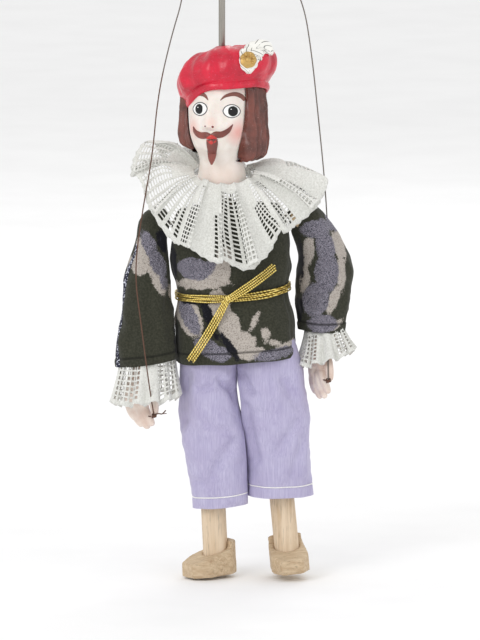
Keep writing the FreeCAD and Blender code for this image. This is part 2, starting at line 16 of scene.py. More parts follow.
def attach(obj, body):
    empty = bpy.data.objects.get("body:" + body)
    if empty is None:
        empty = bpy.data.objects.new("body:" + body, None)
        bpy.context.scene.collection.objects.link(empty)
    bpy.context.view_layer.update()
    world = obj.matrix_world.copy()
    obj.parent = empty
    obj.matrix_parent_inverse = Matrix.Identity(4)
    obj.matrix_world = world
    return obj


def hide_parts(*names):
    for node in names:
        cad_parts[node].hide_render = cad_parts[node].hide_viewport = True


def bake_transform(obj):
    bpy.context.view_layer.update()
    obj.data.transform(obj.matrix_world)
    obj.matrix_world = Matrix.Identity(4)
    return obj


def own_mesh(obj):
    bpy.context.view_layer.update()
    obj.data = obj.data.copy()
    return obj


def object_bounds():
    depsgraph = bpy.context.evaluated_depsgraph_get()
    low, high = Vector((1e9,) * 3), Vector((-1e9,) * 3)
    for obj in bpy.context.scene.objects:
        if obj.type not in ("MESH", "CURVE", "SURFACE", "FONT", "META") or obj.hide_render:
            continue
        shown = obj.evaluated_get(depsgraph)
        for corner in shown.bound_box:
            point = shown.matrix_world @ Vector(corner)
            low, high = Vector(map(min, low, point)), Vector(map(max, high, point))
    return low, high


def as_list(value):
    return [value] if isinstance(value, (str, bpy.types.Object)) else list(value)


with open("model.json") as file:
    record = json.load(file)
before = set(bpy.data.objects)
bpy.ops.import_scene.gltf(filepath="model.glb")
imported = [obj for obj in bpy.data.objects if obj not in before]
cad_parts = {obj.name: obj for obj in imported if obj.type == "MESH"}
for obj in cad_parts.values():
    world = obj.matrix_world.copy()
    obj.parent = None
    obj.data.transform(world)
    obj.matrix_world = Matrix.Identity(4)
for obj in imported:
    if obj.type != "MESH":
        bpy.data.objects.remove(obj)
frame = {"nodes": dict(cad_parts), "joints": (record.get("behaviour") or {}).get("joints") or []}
LOW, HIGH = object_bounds()

MM = 0.001
CLOTH_THICK = 0.5
CAMERA_FAR = 4.0
CAMERA_AIM = (0.00684, 0, -0.194)
CAMERA_SEES = 0.2432
CAMERA_RISE = math.radians(9)
SENSOR = 36
SIDES = {"r": -1, "l": 1}
HEAD_YAW = math.radians(-20)
LEAN = math.radians(-3.2)
NECK_PIN = Vector((2.2, 0, -148))

# The joint points of the CAD frame, in millimetres
ELBOW = {"r": (-29.1, -1.1, -187.6), "l": (38.3, 14.2, -180.2)}
WRIST = {"r": (-30.5, -4.8, -211.1), "l": (39.5, 4.4, -202.0)}


# ---- shaders ------------------------------------------------------------------------------
def tone(red, green, blue):
    """A display colour from 0 to 255, as linear RGBA."""
    out = []
    for value in (red, green, blue):
        value /= 255
        out.append(value / 12.92 if value <= 0.04045 else ((value + 0.055) / 1.055) ** 2.4)
    return (*out, 1.0)


class Look:
    """A material with a Principled shader, and short ways to add nodes to it."""

    def __init__(self, name, **sockets):
        self.material = bpy.data.materials.new(name)
        self.material.use_nodes = True
        self.tree = self.material.node_tree
        self.shader = self.tree.nodes["Principled BSDF"]
        self.set(self.shader, sockets)

    def set(self, node, values):
        for name, value in values.items():
            key = name.replace("_", " ") if isinstance(name, str) else name
            socket = node.inputs[key]
            if isinstance(value, bpy.types.Node):
                value = value.outputs[0]
            if isinstance(value, bpy.types.NodeSocket):
                self.tree.links.new(value, socket)
            else:
                socket.default_value = value
        return node

    def add(self, kind, values=None, **props):
        node = self.tree.nodes.new("ShaderNode" + kind)
        for name, value in props.items():
            setattr(node, name, value)
        return self.set(node, values or {})

    def where(self, scale=(1, 1, 1), turn=(0, 0, 0)):
        """Object coordinates, scaled and turned."""
        place = self.add("TexCoord").outputs["Object"]
        return self.add("Mapping", {"Vector": place, "Scale": scale, "Rotation": turn})

    def noise(self, scale, detail=2.0, where=None, rough=0.5, distort=0.0):
        where = where or self.where()
        return self.add("TexNoise", {
            "Vector": where, "Scale": scale, "Detail": detail, "Roughness": rough,
            "Distortion": distort})

    def ramp(self, factor, stops):
        node = self.add("ValToRGB", {"Fac": factor})
        band = node.color_ramp.elements
        while len(band) < len(stops):
            band.new(0.5)
        for mark, (place, colour) in zip(band, stops):
            mark.position = place
            mark.color = colour if hasattr(colour, "__len__") else (colour, colour, colour, 1)
        return node

    def math(self, operation, a, b=0.0):
        return self.add("Math", {0: a, 1: b}, operation=operation)

    def mix(self, factor, a, b, blend="MIX"):
        node = self.add("Mix", {0: factor, 6: a, 7: b}, data_type="RGBA", blend_type=blend)
        return node.outputs[2]

    def fade(self, factor, low, high, a, b, most=1.0):
        """Colour a up to the low factor, and from the high one as much as most of colour b."""
        return self.mix(self.ramp(factor, [(low, 0.0), (high, most)]), a, b)

    def value(self, name):
        """A number stored on the mesh's points."""
        return self.add("Attribute", attribute_name=name).outputs["Fac"]

    def bump(self, height, distance, strength=1.0, under=None):
        values = {"Height": height, "Distance": distance, "Strength": strength}
        if under is not None:
            values["Normal"] = under
        return self.add("Bump", values)

    def done(self, colour=None, normal=None, **sockets):
        if colour is not None:
            sockets["Base Color"] = colour
        if normal is not None:
            sockets["Normal"] = normal
        self.set(self.shader, sockets)
        return self.material


def make_wood(name, light, dark, grain=(900, 900, 60), rough=0.62):
    """Bare wood with streaks along Z, pores and a slight sawn roughness."""
    look = Look(name, Roughness=rough)
    look.set(look.shader, {"Specular IOR Level": 0.25})
    streak = look.noise(1.0, 4, look.where(grain), 0.6, 0.4)
    fine = look.noise(1.0, 2, look.where([3 * g for g in grain]), 0.6)
    cloud = look.noise(90, 2)
    tint = look.ramp(streak, [(0.32, dark), (0.62, light)])
    tint = look.fade(cloud, 0.35, 0.7, tint, light, 0.45)
    pores = look.ramp(fine, [(0.33, 0.72), (0.42, 1.0)])
    tint = look.mix(1.0, tint, pores, "MULTIPLY")
    height = look.mix(0.5, streak, fine)
    return look.done(tint, look.bump(height, 0.00016, 0.6))


def make_paint(name, base, worn, rough=0.5, coat=0.0, lumps=0.5, speck=None):
    """Hand-brushed paint on plaster: uneven colour, brush streaks and soft lumps."""
    look = Look(name, Roughness=rough)
    look.set(look.shader, {"Coat Weight": coat, "Coat Roughness": 0.25})
    cloud = look.noise(160, 4)
    brush = look.noise(1.0, 3, look.where((1500, 1500, 260)), 0.6)
    tint = look.fade(cloud, 0.38, 0.66, base, worn)
    tint = look.mix(look.ramp(brush, [(0.3, 0.25), (0.6, 0.0)]), tint, worn)
    if speck:
        dots = look.noise(2600, 1)
        tint = look.fade(dots, 0.70, 0.74, tint, speck, 0.6)
    grain = look.noise(900, 3)
    normal = look.bump(grain, 0.00012, lumps)
    return look.done(tint, look.bump(look.noise(240, 2), 0.0006, lumps, normal))


def make_face_paint():
    """White plaster paint with rosy cheeks, temples and chin; the warmer neck is painted shade."""
    look = Look("face_paint", Roughness=0.5)
    look.set(look.shader, {"Subsurface Weight": 0.06, "Subsurface Scale": 0.002})
    cloud = look.noise(220, 4)
    tint = look.fade(cloud, 0.35, 0.65, tone(236, 229, 222), tone(226, 216, 207))
    place = look.add("TexCoord").outputs["Object"]
    for middle, reach, colour, most in (
            ((0.0060, -0.0110, -0.1205), 0.0062, tone(226, 150, 140), 0.75),
            ((-0.0108, -0.0080, -0.1195), 0.0050, tone(228, 160, 150), 0.6),
            ((-0.0040, -0.0150, -0.1165), 0.0032, tone(240, 205, 195), 0.6),
            # painted shade: the last spot darkens the neck under the chin, down to the ruff
            ((0.0, -0.0060, -0.1420), 0.0130, tone(226, 200, 186), 0.7)):
        away = look.add("VectorMath", {0: place, 1: middle}, operation="DISTANCE")
        near = look.ramp(look.math("DIVIDE", away.outputs["Value"], reach),
                         [(0.15, most), (1.0, 0.0)])
        tint = look.mix(near, tint, colour)
    specks = look.noise(1800, 1)
    tint = look.fade(specks, 0.71, 0.76, tint, tone(190, 160, 140), 0.35)
    normal = look.bump(look.noise(700, 3), 0.0001, 0.5)
    return look.done(tint, look.bump(look.noise(150, 2), 0.0005, 0.4, normal))


def make_metal(name, colour, rough, streaks=(2500, 2500, 120)):
    look = Look(name, Metallic=1.0, Roughness=rough)
    scratch = look.noise(1.0, 3, look.where(streaks))
    shade = look.mix(look.ramp(scratch, [(0.3, 0.75), (0.7, 1.0)]), (0, 0, 0, 1), colour)
    look.set(look.shader, {"Roughness": look.ramp(scratch, [(0.3, rough), (0.7, rough + 0.2)])})
    return look.done(shade, look.bump(scratch, 0.00005, 0.5))


def make_flat(name, colour, rough=0.4, coat=0.0):
    look = Look(name, Roughness=rough)
    look.set(look.shader, {"Coat Weight": coat})
    speck = look.noise(1500, 2)
    tint = look.mix(look.ramp(speck, [(0.3, 0.85), (0.6, 1.0)]), (0, 0, 0, 1), colour)
    return look.done(tint, look.bump(speck, 0.00005, 0.4))


def weave_bump(look, pitch, distance):
    """Two crossed sets of threads, as a height."""
    ways = []
    for direction in ("X", "Z"):
        ways.append(look.add("TexWave", {
            "Vector": look.where(), "Scale": 0.314 / pitch, "Distortion": 0.6, "Detail": 1.0,
            "Detail Scale": 3.0}, wave_type="BANDS", bands_direction=direction))
    height = look.math("MAXIMUM", ways[0], ways[1])
    return look.bump(height, distance, 0.5)


def make_camouflage():
    """Printed cotton: olive, speckled lavender and warm grey fields with fuzzy edges.

    Each mesh carries the fields' signed distances in millimetres, above 0 inside a field.
    """
    look = Look("camouflage", Roughness=0.92)
    look.set(look.shader, {"Specular IOR Level": 0.12, "Sheen Weight": 0.12})
    fuzz = look.noise(2200, 3, rough=0.8)
    soft = look.noise(420, 3, rough=0.6)
    shake = look.math("ADD", look.math("MULTIPLY", look.math("SUBTRACT", fuzz, 0.5), 3.4),
                      look.math("MULTIPLY", look.math("SUBTRACT", soft, 0.5), 3.0))

    def inside(field):
        level = look.math("ADD", look.value(field), shake)
        level = look.math("MULTIPLY_ADD", level, 0.25)
        level.inputs[2].default_value = 0.5
        return look.ramp(level, [(0.46, 0.0), (0.54, 1.0)])

    olive = look.fade(look.noise(1400, 2), 0.35, 0.7, tone(48, 49, 40), tone(64, 64, 54))
    grey_dots = look.ramp(look.noise(2600, 2, rough=0.7), [(0.36, 0.0), (0.52, 1.0)])
    grey = look.mix(grey_dots, tone(126, 118, 112), tone(184, 176, 168))
    dots = look.ramp(look.noise(2700, 4, rough=0.95), [(0.46, 0.0), (0.54, 1.0)])
    lavender = look.mix(dots, tone(48, 48, 57), tone(150, 146, 158))
    # painted shade: the dark field, under the belt and ruff, between sleeves and trunk, in folds;
    # with dark print
    dark = look.fade(look.noise(2400, 1), 0.60, 0.66, tone(24, 24, 30), tone(44, 44, 52))
    tint = look.mix(inside("grey"), olive, grey)
    tint = look.mix(inside("lavender"), tint, lavender)
    tint = look.mix(inside("dark"), tint, dark)
    navy_dots = look.ramp(look.noise(1500, 0), [(0.60, 0.0), (0.63, 1.0)])
    navy = look.mix(navy_dots, tone(30, 32, 52), tone(206, 208, 220))
    level = look.ramp(look.value("strip"), [(0.0, 0.0), (0.05, 1.0)])
    tint = look.mix(level, tint, navy)
    # painted shade: the hem seams' grooves are darkened
    seam = look.ramp(look.value("seam"), [(0.15, 0.85), (0.6, 0.0)])
    tint = look.mix(seam, tint, tone(20, 20, 18))
    return look.done(tint, weave_bump(look, 0.00045, 0.00006))


def make_breeches_cloth():
    look = Look("lavender_cotton", Roughness=0.88)
    look.set(look.shader, {"Specular IOR Level": 0.12, "Sheen Weight": 0.2})
    streak = look.noise(1.0, 4, look.where((2600, 2600, 90)), 0.65)
    cloud = look.noise(120, 3)
    tint = look.fade(streak, 0.3, 0.7, tone(167, 161, 194), tone(195, 190, 215))
    tint = look.mix(look.ramp(cloud, [(0.35, 0.16), (0.6, 0.0)]), tint, tone(140, 124, 168))
    # painted shade: the groove along the white hem stitch is darkened
    seam = look.ramp(look.value("seam"), [(0.15, 0.25), (0.6, 0.0)])
    tint = look.mix(seam, tint, tone(120, 106, 150))
    return look.done(tint, weave_bump(look, 0.0004, 0.00005))


def make_lace_thread():
    look = Look("lace_cotton", Roughness=0.85)
    twist = look.noise(1500, 4, rough=0.7)
    tint = look.fade(twist, 0.3, 0.7, tone(206, 206, 199), tone(240, 240, 236))
    return look.done(tint, look.bump(twist, 0.0003, 0.9))


def make_gold_cord():
    look = Look("gold_thread", Metallic=0.85, Roughness=0.3)
    wrap = look.add("TexWave", {
        "Vector": look.where((1, 1, 1), (0, 0.6, 0.8)), "Scale": 520, "Distortion": 2.0,
        "Detail": 2.0, "Detail Scale": 2.0})
    # painted highlights: bright glint specks on the gold
    painted_glints = look.noise(2600, 1)
    # painted shade and light: the twist's grooves are darker and its crests lighter
    tint = look.fade(wrap, 0.2, 0.7, tone(150, 122, 48), tone(238, 216, 126))
    tint = look.fade(painted_glints, 0.62, 0.70, tint, tone(250, 236, 170), 0.8)
    return look.done(tint, look.bump(wrap, 0.00006, 0.6))


def make_plume_paint():
    """White plaster with grey barb lines; the mesh stores where each barb lies."""
    look = Look("plume_white", Roughness=0.5)
    rough_line = look.math("ADD", look.value("barb"), look.math(
        "MULTIPLY", look.noise(300, 1), 0.25))
    line = look.math("ABSOLUTE", look.math("SUBTRACT", look.math("FRACT", rough_line), 0.5))
    ink = look.ramp(line, [(0.05, 1.0), (0.11, 0.0)])
    worn = look.ramp(look.noise(420, 2), [(0.36, 0.0), (0.48, 0.95)])
    ink = look.math("MULTIPLY", ink, worn)
    tint = look.mix(ink, tone(240, 239, 233), tone(96, 98, 96))
    return look.done(tint, look.bump(line, 0.0001, 0.5))


# ---- meshes -------------------------------------------------------------------------------
def piece(name, points, faces, material, smooth=True, values=None):
    data = bpy.data.meshes.new(name)
    data.from_pydata([tuple(MM * float(c) for c in p) for p in points], [], faces)
    data.polygons.foreach_set("use_smooth", [smooth] * len(data.polygons))
    for key, numbers in (values or {}).items():
        stored = data.attributes.new(key, "FLOAT", "POINT")
        stored.data.foreach_set("value", np.asarray(numbers, np.float32).ravel())
    data.materials.append(material)
    made = bpy.data.objects.new(name, data)
    bpy.context.scene.collection.objects.link(made)
    return made


def grid_faces(rows, columns, closed, skip=None):
    faces = []
    for i in range(rows - 1):
        for j in range(columns if closed else columns - 1):
            if skip is not None and skip(i, j):
                continue
            k = (j + 1) % columns
            faces.append((i * columns + j, (i + 1) * columns + j,
                          (i + 1) * columns + k, i * columns + k))
    return faces


def sheet_of(name, rows, material, closed=True, skip=None, caps=False, values=None):
    """A surface through rows of points; closed joins each row's ends, caps fill both ends."""
    rows = np.asarray(rows, float)
    count, columns = rows.shape[:2]
    faces = grid_faces(count, columns, closed, skip)
    if caps:
        faces.append(tuple(range(columns)))
        faces.append(tuple(range((count - 1) * columns, count * columns))[::-1])
    return piece(name, rows.reshape(-1, 3), faces, material, True, values)


def modify(target, kind, **settings):
    """Apply one modifier to a mesh and keep its result."""
    made = target.modifiers.new(kind, kind)
    for name, value in settings.items():
        setattr(made, name, value)
    graph = bpy.context.evaluated_depsgraph_get()
    graph.update()
    data = bpy.data.meshes.new_from_object(target.evaluated_get(graph), depsgraph=graph)
    target.modifiers.clear()
    old = target.data
    target.data = data
    bpy.data.meshes.remove(old)
    return target


def thicken(target, thickness, offset=0.0):
    return modify(target, "SOLIDIFY", thickness=thickness * MM, offset=offset)


def cloth(name, rows, material, values, first=0, last=None):
    """Part of a closed-round cloth surface, with two faces and an edge.

    Its shading follows the whole surface, so two parts of one garment meet without a line.
    """
    rows = np.asarray(rows, float)
    around = np.roll(rows, -1, axis=1) - np.roll(rows, 1, axis=1)
    down = np.gradient(rows, axis=0)
    normals = np.cross(down, around)
    normals /= np.linalg.norm(normals, axis=2)[:, :, None] + 1e-12
    outer, normals = rows[first:last], normals[first:last]
    inner = outer - normals * CLOTH_THICK
    count, columns = outer.shape[:2]
    total = count * columns
    faces = grid_faces(count, columns, True)
    faces += [tuple(total + i for i in face[::-1]) for face in grid_faces(count, columns, True)]
    for base, flip in ((0, False), (total - columns, True)):
        for j in range(columns):
            k = (j + 1) % columns
            edge = (base + j, base + k, total + base + k, total + base + j)
            faces.append(edge[::-1] if flip else edge)
    points = np.concatenate([outer.reshape(-1, 3), inner.reshape(-1, 3)])
    doubled = {key: [*numbers, *numbers] for key, numbers in values.items()}
    made = piece(name, points, faces, material, True, doubled)
    split = np.concatenate([normals.reshape(-1, 3), -normals.reshape(-1, 3)])
    made.data.normals_split_custom_set_from_vertices([tuple(n) for n in split])
    return made


def frames_along(points):
    """A side and an up direction at each point of a path, with no sudden twist."""
    points = np.asarray(points, float)
    ahead = np.gradient(points, axis=0)
    ahead /= np.linalg.norm(ahead, axis=1)[:, None] + 1e-12
    first = np.array([0.0, 0, 1]) if abs(ahead[0][2]) < 0.9 else np.array([1.0, 0, 0])
    side = np.cross(ahead[0], first)
    side /= np.linalg.norm(side)
    sides, ups = [], []
    for line in ahead:
        side = side - line * side.dot(line)
        side /= np.linalg.norm(side) + 1e-12
        sides.append(side)
        ups.append(np.cross(side, line))
    return np.array(sides), np.array(ups)


def tube(name, points, radius, material, around=8):
    """A round tube along points; radius is one number or one for each point."""
    points = np.asarray(points, float)
    sides, ups = frames_along(points)
    radii = np.broadcast_to(radius, len(points))
    turns = round_turns(around)
    rows = [p + r * (np.outer(np.cos(turns), s) + np.outer(np.sin(turns), u))
            for p, r, s, u in zip(points, radii, sides, ups)]
    return sheet_of(name, rows, material, caps=True)


def joined(name, pieces):
    """One object out of several, by copying their meshes together."""
    points, faces, shift = [], [], 0
    material = pieces[0].data.materials[0]
    for part in pieces:
        data = part.data
        points += [v.co / MM for v in data.vertices]
        faces += [tuple(shift + i for i in f.vertices) for f in data.polygons]
        shift = len(points)
        bpy.data.objects.remove(part)
    return piece(name, points, faces, material)


def smooth_line(points, count):
    """A Catmull-Rom line through points, sampled evenly in its parameter."""
    points = np.asarray(points, float)
    ends = [2 * points[0] - points[1], *points, 2 * points[-1] - points[-2]]
    out = []
    for t in np.linspace(0, len(points) - 1, count):
        i = min(int(t), len(points) - 2)
        u = t - i
        a, b, c, d = ends[i:i + 4]
        out.append(0.5 * (2 * b + (c - a) * u + (2 * a - 5 * b + 4 * c - d) * u * u
                          + (3 * b - a - 3 * c + d) * u ** 3))
    return np.array(out)


def profile(table, place):
    """Smoothly interpolate a short table whose first column is the place."""
    table = np.asarray(table, float)
    order = np.argsort(table[:, 0])
    keys, values = table[order, 0], table[order, 1:]
    t = float(np.interp(place, keys, np.arange(len(keys))))
    i = min(int(t), len(keys) - 2)
    u = t - i
    a, b = values[max(i - 1, 0)], values[i]
    c, d = values[i + 1], values[min(i + 2, len(keys) - 1)]
    return 0.5 * (2 * b + (c - a) * u + (2 * a - 5 * b + 4 * c - d) * u * u
                  + (3 * b - a - 3 * c + d) * u ** 3)


def wobble(point, scale, seed=0.0, octaves=2):
    """Smooth noise from about -1 to 1; scale is the size of its waves in millimetres."""
    p = Vector(point) / scale + Vector((seed, 2 * seed, -seed))
    total, share = 0.0, 1.0
    for _ in range(octaves):
        total += share * noise.noise(p)
        p, share = p * 2.1, share * 0.5
    return total * 1.5


def hump(distance, reach):
    """1 at no distance, falling smoothly to 0."""
    return math.exp(-(distance / reach) ** 2)


def oval(turn, half_x, half_y, power=2.0):
    c, s = math.cos(turn), math.sin(turn)
    return (half_x * math.copysign(abs(c) ** (2 / power), c),
            half_y * math.copysign(abs(s) ** (2 / power), s))


def round_turns(count):
    """Evenly spaced angles once round a circle."""
    return [2 * math.pi * k / count for k in range(count)]


def turned_z(x, y, angle):
    c, s = math.cos(angle), math.sin(angle)
    return x * c - y * s, x * s + y * c


def leaned(x, y, drop):
    """A point of the hanging body: across, back and down from the neck pin, in row millimetres."""
    c, s = math.cos(LEAN), math.sin(LEAN)
    return NECK_PIN.x + x * c - drop * s, y, NECK_PIN.z - x * s - drop * c


def tree_of(target):
    data = target.data
    return BVHTree.FromPolygons([v.co / MM for v in data.vertices],
                                [tuple(p.vertices) for p in data.polygons])


FACE_PLANE = -13.0
VIEW = Vector((0, math.cos(CAMERA_RISE), -math.sin(CAMERA_RISE)))


def project(tree, x, z, miss=0.0):
    """The surface point and normal seen at x, z, where z is measured on the FACE_PLANE."""
    start = Vector((x, FACE_PLANE, z)) - VIEW * 60
    point, normal, _, _ = tree.ray_cast(start, VIEW)
    if point is None:
        point = start + VIEW * (60 + miss)
        normal = -VIEW
    return point, (normal if normal.y < 0 else -normal)


def patch(name, tree, centre, outline, material, lift=0.06, dome=0.0, rings=8, miss=0.0):
    """A thin painted patch on a surface, inside a closed outline of (x, z) points."""
    middle = Vector((centre[0], 0, centre[1]))
    points = []
    for ring in range(rings + 1):
        share = ring / rings
        for x, z in outline:
            spot = middle.lerp(Vector((x, 0, z)), share)
            at, normal = project(tree, spot.x, spot.z, miss=miss)
            rise = lift * (1 if ring < rings else -2) + dome * math.sqrt(max(0, 1 - share ** 2))
            points.append(at + normal * rise)
    columns = len(outline)
    faces = grid_faces(rings + 1, columns, True)
    return piece(name, points, faces, material)


def almond(x, z, half_x, half_z, point=1.0, count=40):
    """An oval outline of (x, z) points; an eye's is a little pointed at its ends."""
    out = []
    for turn in round_turns(count):
        c, s = math.cos(turn), math.sin(turn)
        out.append((x + half_x * c, z + half_z * math.copysign(abs(s) ** point, s)))
    return out


def stroke(name, tree, line, widths, material, lift=0.05, dome=0.3, count=40, front=None,
           grooves=0):
    """A raised brush stroke on a surface along (x, z) points, with a half width at each."""
    path = smooth_line([(x, z, w) for (x, z), w in zip(line, widths)], count)
    ahead = np.gradient(path[:, :2], axis=0)
    rows, across = [], 10
    for (x, z, half), (dx, dz) in zip(path, ahead):
        size = math.hypot(dx, dz) + 1e-9
        row = []
        for k in range(across + 1):
            u = 2 * k / across - 1
            at, normal = project(tree, x - dz / size * u * half, z + dx / size * u * half)
            if front is not None and at.y > front:
                at.y = front
                normal = -VIEW
            edge = math.sqrt(max(0, 1 - u * u))
            rise = lift + dome * edge * min(1, half) if abs(u) < 1 else -0.15
            rise += grooves * 0.08 * math.sin(u * 9) * edge
            row.append(at + normal * rise)
        rows.append(row)
    return sheet_of(name, rows, material, closed=False)


# ---- the stage ----------------------------------------------------------------------------
def make_stage():
    scene = bpy.context.scene
    scene.view_settings.view_transform = "Standard"
    target = Vector(CAMERA_AIM)
    camera = bpy.data.objects.new("camera", bpy.data.cameras.new("camera"))
    camera.location = target - VIEW * CAMERA_FAR
    camera.rotation_euler = VIEW.to_track_quat("-Z", "Y").to_euler()
    camera.data.sensor_width = SENSOR
    camera.data.lens = SENSOR * CAMERA_FAR / CAMERA_SEES
    camera.data.clip_start = 0.01
    scene.collection.objects.link(camera)
    scene.camera = camera

    world = bpy.data.worlds.new("studio")
    scene.world = world
    world.use_nodes = True
    background = world.node_tree.nodes["Background"].inputs
    background["Color"].default_value = (1, 1, 1, 1)
    background["Strength"].default_value = 0.92

    for name, place, power, size in (
            ("key", (-0.55, -0.75, 0.35), 2.4, 0.4), ("fill", (0.75, -0.6, 0.1), 0.7, 0.6),
            ("rim", (0.3, 0.8, 0.3), 1.5, 0.5)):
        light = bpy.data.objects.new(name, bpy.data.lights.new(name, "AREA"))
        light.data.energy = power
        light.data.size = size
        light.location = place
        aim = target - Vector(place)
        light.rotation_euler = aim.to_track_quat("-Z", "Y").to_euler()
        scene.collection.objects.link(light)

    look = Look("floor_white", Roughness=0.9)
    speck = look.noise(30, 2)
    floor_tint = look.mix(look.ramp(speck, [(0.3, 0.97), (0.7, 1.0)]), (0, 0, 0, 1),
                          (0.95, 0.95, 0.95, 1))
    reach = 2500
    ring = [(reach * math.cos(t), reach * math.sin(t), LOW.z / MM - 0.5)
            for t in round_turns(96)]
    floor = piece("floor", ring, [tuple(range(96))], look.done(floor_tint), False)


make_stage()

# ---- materials ----------------------------------------------------------------------------
FACE = make_face_paint()
HAIR = make_paint("hair_brown", tone(122, 64, 52), tone(82, 44, 36), 0.38, 0.25, 0.6,
                  tone(200, 160, 150))
BROW = make_paint("brow_brown", tone(112, 66, 56), tone(134, 84, 72), 0.5)
WHISKER = make_paint("moustache_brown", tone(134, 62, 50), tone(104, 46, 38), 0.35, 0.4)
LIP = make_paint("lip_red", tone(206, 52, 40), tone(186, 36, 34), 0.3, 0.4)
HAT = make_paint("hat_crimson", tone(213, 3, 50), tone(178, 2, 40), 0.34, 0.16, 0.8,
                 tone(232, 110, 140))
PLUME = make_plume_paint()
BADGE = make_metal("badge_gold", tone(214, 178, 112), 0.42, (700, 700, 700))
EYE_WHITE = make_flat("eye_white", tone(250, 250, 248), 0.25, 0.3)
EYE_LINE = make_flat("eye_line", tone(70, 72, 74), 0.5)
IRIS = make_flat("iris_green", tone(34, 44, 38), 0.7)
PUPIL = make_flat("pupil_black", tone(10, 10, 12), 0.7)
NOSTRIL = make_flat("nostril_red", tone(120, 26, 28), 0.5)
LACE = make_lace_thread()
CAMO = make_camouflage()
GOLD = make_gold_cord()
BREECHES = make_breeches_cloth()
STITCH = make_flat("white_stitch", tone(244, 243, 240), 0.8)
THREAD = make_flat("brown_thread", tone(96, 66, 52), 0.8)
PALE_THREAD = make_flat("grey_thread", tone(112, 104, 98), 0.8)
HAND = make_paint("hand_plaster", tone(238, 226, 216), tone(214, 190, 176), 0.45, 0.2, 0.6,
                  tone(176, 130, 112))
STEEL = make_metal("rod_steel", tone(168, 164, 156), 0.28)
LEG_WOOD = make_wood("leg_wood", tone(224, 204, 178), tone(200, 174, 142), (700, 700, 40))
SHOE_WOOD = make_wood("shoe_wood", tone(207, 186, 156), tone(173, 145, 114), (160, 900, 700))
BODY_WOOD = make_wood("body_wood", tone(214, 190, 156), tone(180, 150, 112))
BAR_WOOD = make_wood("bar_wood", tone(206, 170, 122), tone(166, 124, 78), (60, 900, 900))
TURNED_WOOD = make_wood("turned_wood", tone(178, 118, 66), tone(134, 80, 40), (800, 800, 50),
                        0.35)


# ---- the plain CAD parts that show ---------------------------------------------------------
def finish_cad_parts():
    looks = {
        "handle": (TURNED_WOOD, "turned_wood"), "hand_bar": (BAR_WOOD, "bar_wood"),
        "control_rod": (STEEL, "rod_steel"), "bar_collar": (STEEL, "rod_steel"),
        "neck_link": (STEEL, "rod_steel"), "link_pin": (STEEL, "rod_steel"),
        "neck_eye": (STEEL, "rod_steel"), "hip_pin": (STEEL, "rod_steel"),
        "chest_block": (BODY_WOOD, "body_wood"), "waist_dowel": (BODY_WOOD, "body_wood"),
        "hip_block": (BODY_WOOD, "body_wood"), "bar_knot_r": (THREAD, "thread"),
        "bar_knot_l": (THREAD, "thread")}
    for side in SIDES:
        looks["shoulder_pin_" + side] = looks["elbow_pin_" + side] = (STEEL, "rod_steel")
        looks["knee_pin_" + side] = (STEEL, "rod_steel")
        looks["upper_arm_" + side] = looks["forearm_" + side] = (BODY_WOOD, "body_wood")
        looks["thigh_" + side] = looks["shin_" + side] = (LEG_WOOD, "leg_wood")
        looks["shoe_" + side] = (SHOE_WOOD, "shoe_wood")
    for name, (material, slot) in looks.items():
        node = frame["nodes"][name]
        node.data.materials.clear()
        node.data.materials.append(material)


finish_cad_parts()


def make_shoe(side):
    """The CAD shoe with its knife-cut edges rounded off."""
    node = frame["nodes"]["shoe_" + side]
    data = node.data.copy()
    data.transform(node.matrix_world)
    shoe = bpy.data.objects.new("shoe_carved_" + side, data)
    bpy.context.scene.collection.objects.link(shoe)
    modify(shoe, "REMESH", mode="VOXEL", voxel_size=0.5 * MM, use_smooth_shade=True)
    modify(shoe, "SMOOTH", factor=0.6, iterations=9)
    shoe.data.materials.clear()
    shoe.data.materials.append(SHOE_WOOD)
    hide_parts("shoe_" + side)
    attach(shoe, "shin_" + side)


for SIDE in SIDES:
    make_shoe(SIDE)


# ---- head ---------------------------------------------------------------------------------
HEAD_SHAPE = (
    (-93.0, 2.5, 3.0, 1.0), (-95.0, 7.6, 8.4, 0.9), (-98.5, 10.6, 11.4, 0.7),
    (-103.0, 12.2, 13.0, 0.3), (-107.0, 12.6, 13.4, 0.0), (-113.0, 12.5, 13.5, -0.3),
    (-119.0, 12.0, 13.2, -0.8), (-123.0, 11.2, 12.7, -1.3), (-126.5, 10.0, 11.4, -1.5),
    (-129.5, 8.8, 9.6, -0.9), (-132.5, 8.4, 8.8, -0.2), (-136.0, 8.7, 8.8, 0.0),
    (-139.0, 9.3, 9.1, 0.0), (-142.0, 9.9, 9.4, 0.0))


def head_surface(turn, z):
    """A point of the head's skin; turn is 0 at the face's middle, positive to the right."""
    half_x, half_y, back = profile(HEAD_SHAPE, z)
    x, y = half_x * math.sin(turn), back - half_y * math.cos(turn)
    ahead = max(0.0, math.cos(turn))
    push = 0.0
    along = min(1.0, max(0.0, (-108.0 - z) / 9.5))
    if z > -119.5:
        ridge = hump(x, 1.3 + 1.1 * along) * along ** 1.3
        under = 1 if z > -117.6 else max(0.0, (z + 119.5) / 1.9)
        push += 3.0 * ridge * under
    for side in (-1, 1):
        push -= 0.7 * hump(math.hypot(x - side * 5.6, (z + 111.8) * 0.9), 3.2)
        push += 0.5 * hump(math.hypot(x - side * 5.6, (z + 106.6) * 1.5), 3.4)
        push += 0.7 * hump(math.hypot(x - side * 7.4, z + 118.6), 3.8)
        push += 0.5 * hump(math.hypot(x - side * 1.9, (z + 118.0) * 1.2), 1.1)
    push += 0.7 * hump(math.hypot(x, (z + 121.8) * 0.8), 3.6)
    push += 1.3 * hump(math.hypot(x, z + 127.0), 3.6)
    y -= push * ahead
    x, y = turned_z(x, y, HEAD_YAW)
    return x, y, z


